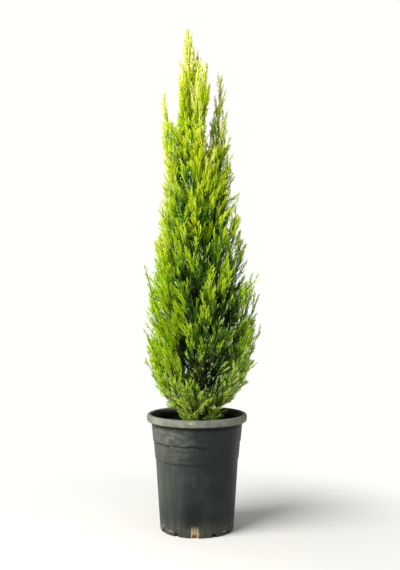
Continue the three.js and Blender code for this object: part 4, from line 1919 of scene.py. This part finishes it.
@dataclass(frozen=True)
class Studio:
    """The pale floor, the soft light and the camera."""

    camera_place: Place = (0.00727, -2.053, 0.583)
    camera_lens: float = 54.07
    sensor_width: float = 36.0
    floor_half: float = 6.0
    floor_fade: Range = (0.20, 0.75)
    floor_colour: Colour = (0.86, 0.855, 0.83)
    wall_colour: Colour = (1.0, 1.0, 0.975)
    ambient: float = 0.30
    lamps: tuple[Lamp, ...] = (
        Lamp("key_light", (-1.75, -1.45, 1.50), size=2.0, power=131.0, colour=(1.0, 0.985, 0.95)),
        Lamp("fill_light", (1.9, -1.2, 0.9), size=1.4, power=3.0, colour=(1.0, 0.96, 0.90)),
        Lamp("top_light", (0.0, 0.3, 3.2), size=2.4, power=8.0, colour=(1.0, 0.99, 0.97)),
    )

    def build(self) -> None:
        """Makes all of it."""
        self.make_camera()
        self.make_floor()
        self.make_world()
        for lamp in self.lamps:
            lamp.build()
        bpy.context.scene.view_settings.view_transform = "Standard"

    def make_camera(self) -> None:
        """The camera, level, at the height of the plant's middle."""
        data = bpy.data.cameras.new("camera")
        data.lens = self.camera_lens
        data.sensor_width = self.sensor_width
        camera = placed("camera", data)
        camera.location = self.camera_place
        camera.rotation_euler = (np.pi / 2.0, 0.0, 0.0)
        bpy.context.scene.camera = camera

    def make_floor(self) -> None:
        """A plain pale floor under the pot that fades into the white of the wall, so that no edge shows."""
        half = self.floor_half
        mesh = bpy.data.meshes.new("floor")
        corners = [(-half, -half, 0.0), (half, -half, 0.0), (half, half, 0.0), (-half, half, 0.0)]
        mesh.from_pydata(corners, [], [(0, 1, 2, 3)])
        shader = Material("pale_floor")
        pale = shader.dress({"Base Color": self.floor_colour, "Roughness": 0.8, "Specular IOR Level": 0.1})
        far = shader.node("ShaderNodeVectorMath", {"operation": "LENGTH"}, {0: shader.place()}, "Value")
        glow = shader.node("ShaderNodeEmission", inputs={"Color": self.wall_colour, "Strength": 1.0})
        near = Term(shader, shader.tree.nodes["Principled BSDF"].outputs[0])
        both = shader.node("ShaderNodeMixShader", inputs={0: far.between(*self.floor_fade), 1: near, 2: glow})
        shader.feed(shader.tree.nodes["Material Output"].inputs["Surface"], both)
        mesh.materials.append(pale)
        floor = placed("floor", mesh)

    def make_world(self) -> None:
        """Even light from all round, behind a white wall that the camera sees."""
        world = bpy.data.worlds.new("studio")
        world.use_nodes = True
        bpy.context.scene.world = world
        shader = Shader(world.node_tree)
        lit = shader.node("ShaderNodeBackground", inputs={0: self.wall_colour, 1: self.ambient})
        seen = shader.node("ShaderNodeBackground", inputs={0: self.wall_colour, 1: 1.0})
        by_camera = shader.node("ShaderNodeLightPath", output="Is Camera Ray")
        both = shader.node("ShaderNodeMixShader", inputs={0: by_camera, 1: lit, 2: seen})
        shader.feed(world.node_tree.nodes["World Output"].inputs["Surface"], both)


def write_sizes() -> None:
    """Updates the view layer."""
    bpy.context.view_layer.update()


def main() -> None:
    """Builds the studio and the sub-assemblies in order, and reports each piece."""
    logging.basicConfig(level=logging.INFO, format="%(name)s: %(message)s")
    Studio().build()
    bark = Bark().build()
    trunk = Trunk()
    pot = Pot()
    pieces = pot.build() + Soil(pot).build() + trunk.build(bark) + Crown(trunk).build(bark)
    for piece in pieces:
        log.info("%s: %d triangles", piece.name, len(piece.data.polygons))
    log.info("whole: %d triangles", sum(len(piece.data.polygons) for piece in pieces))
    write_sizes()


if __name__ == "__main__":
    main()
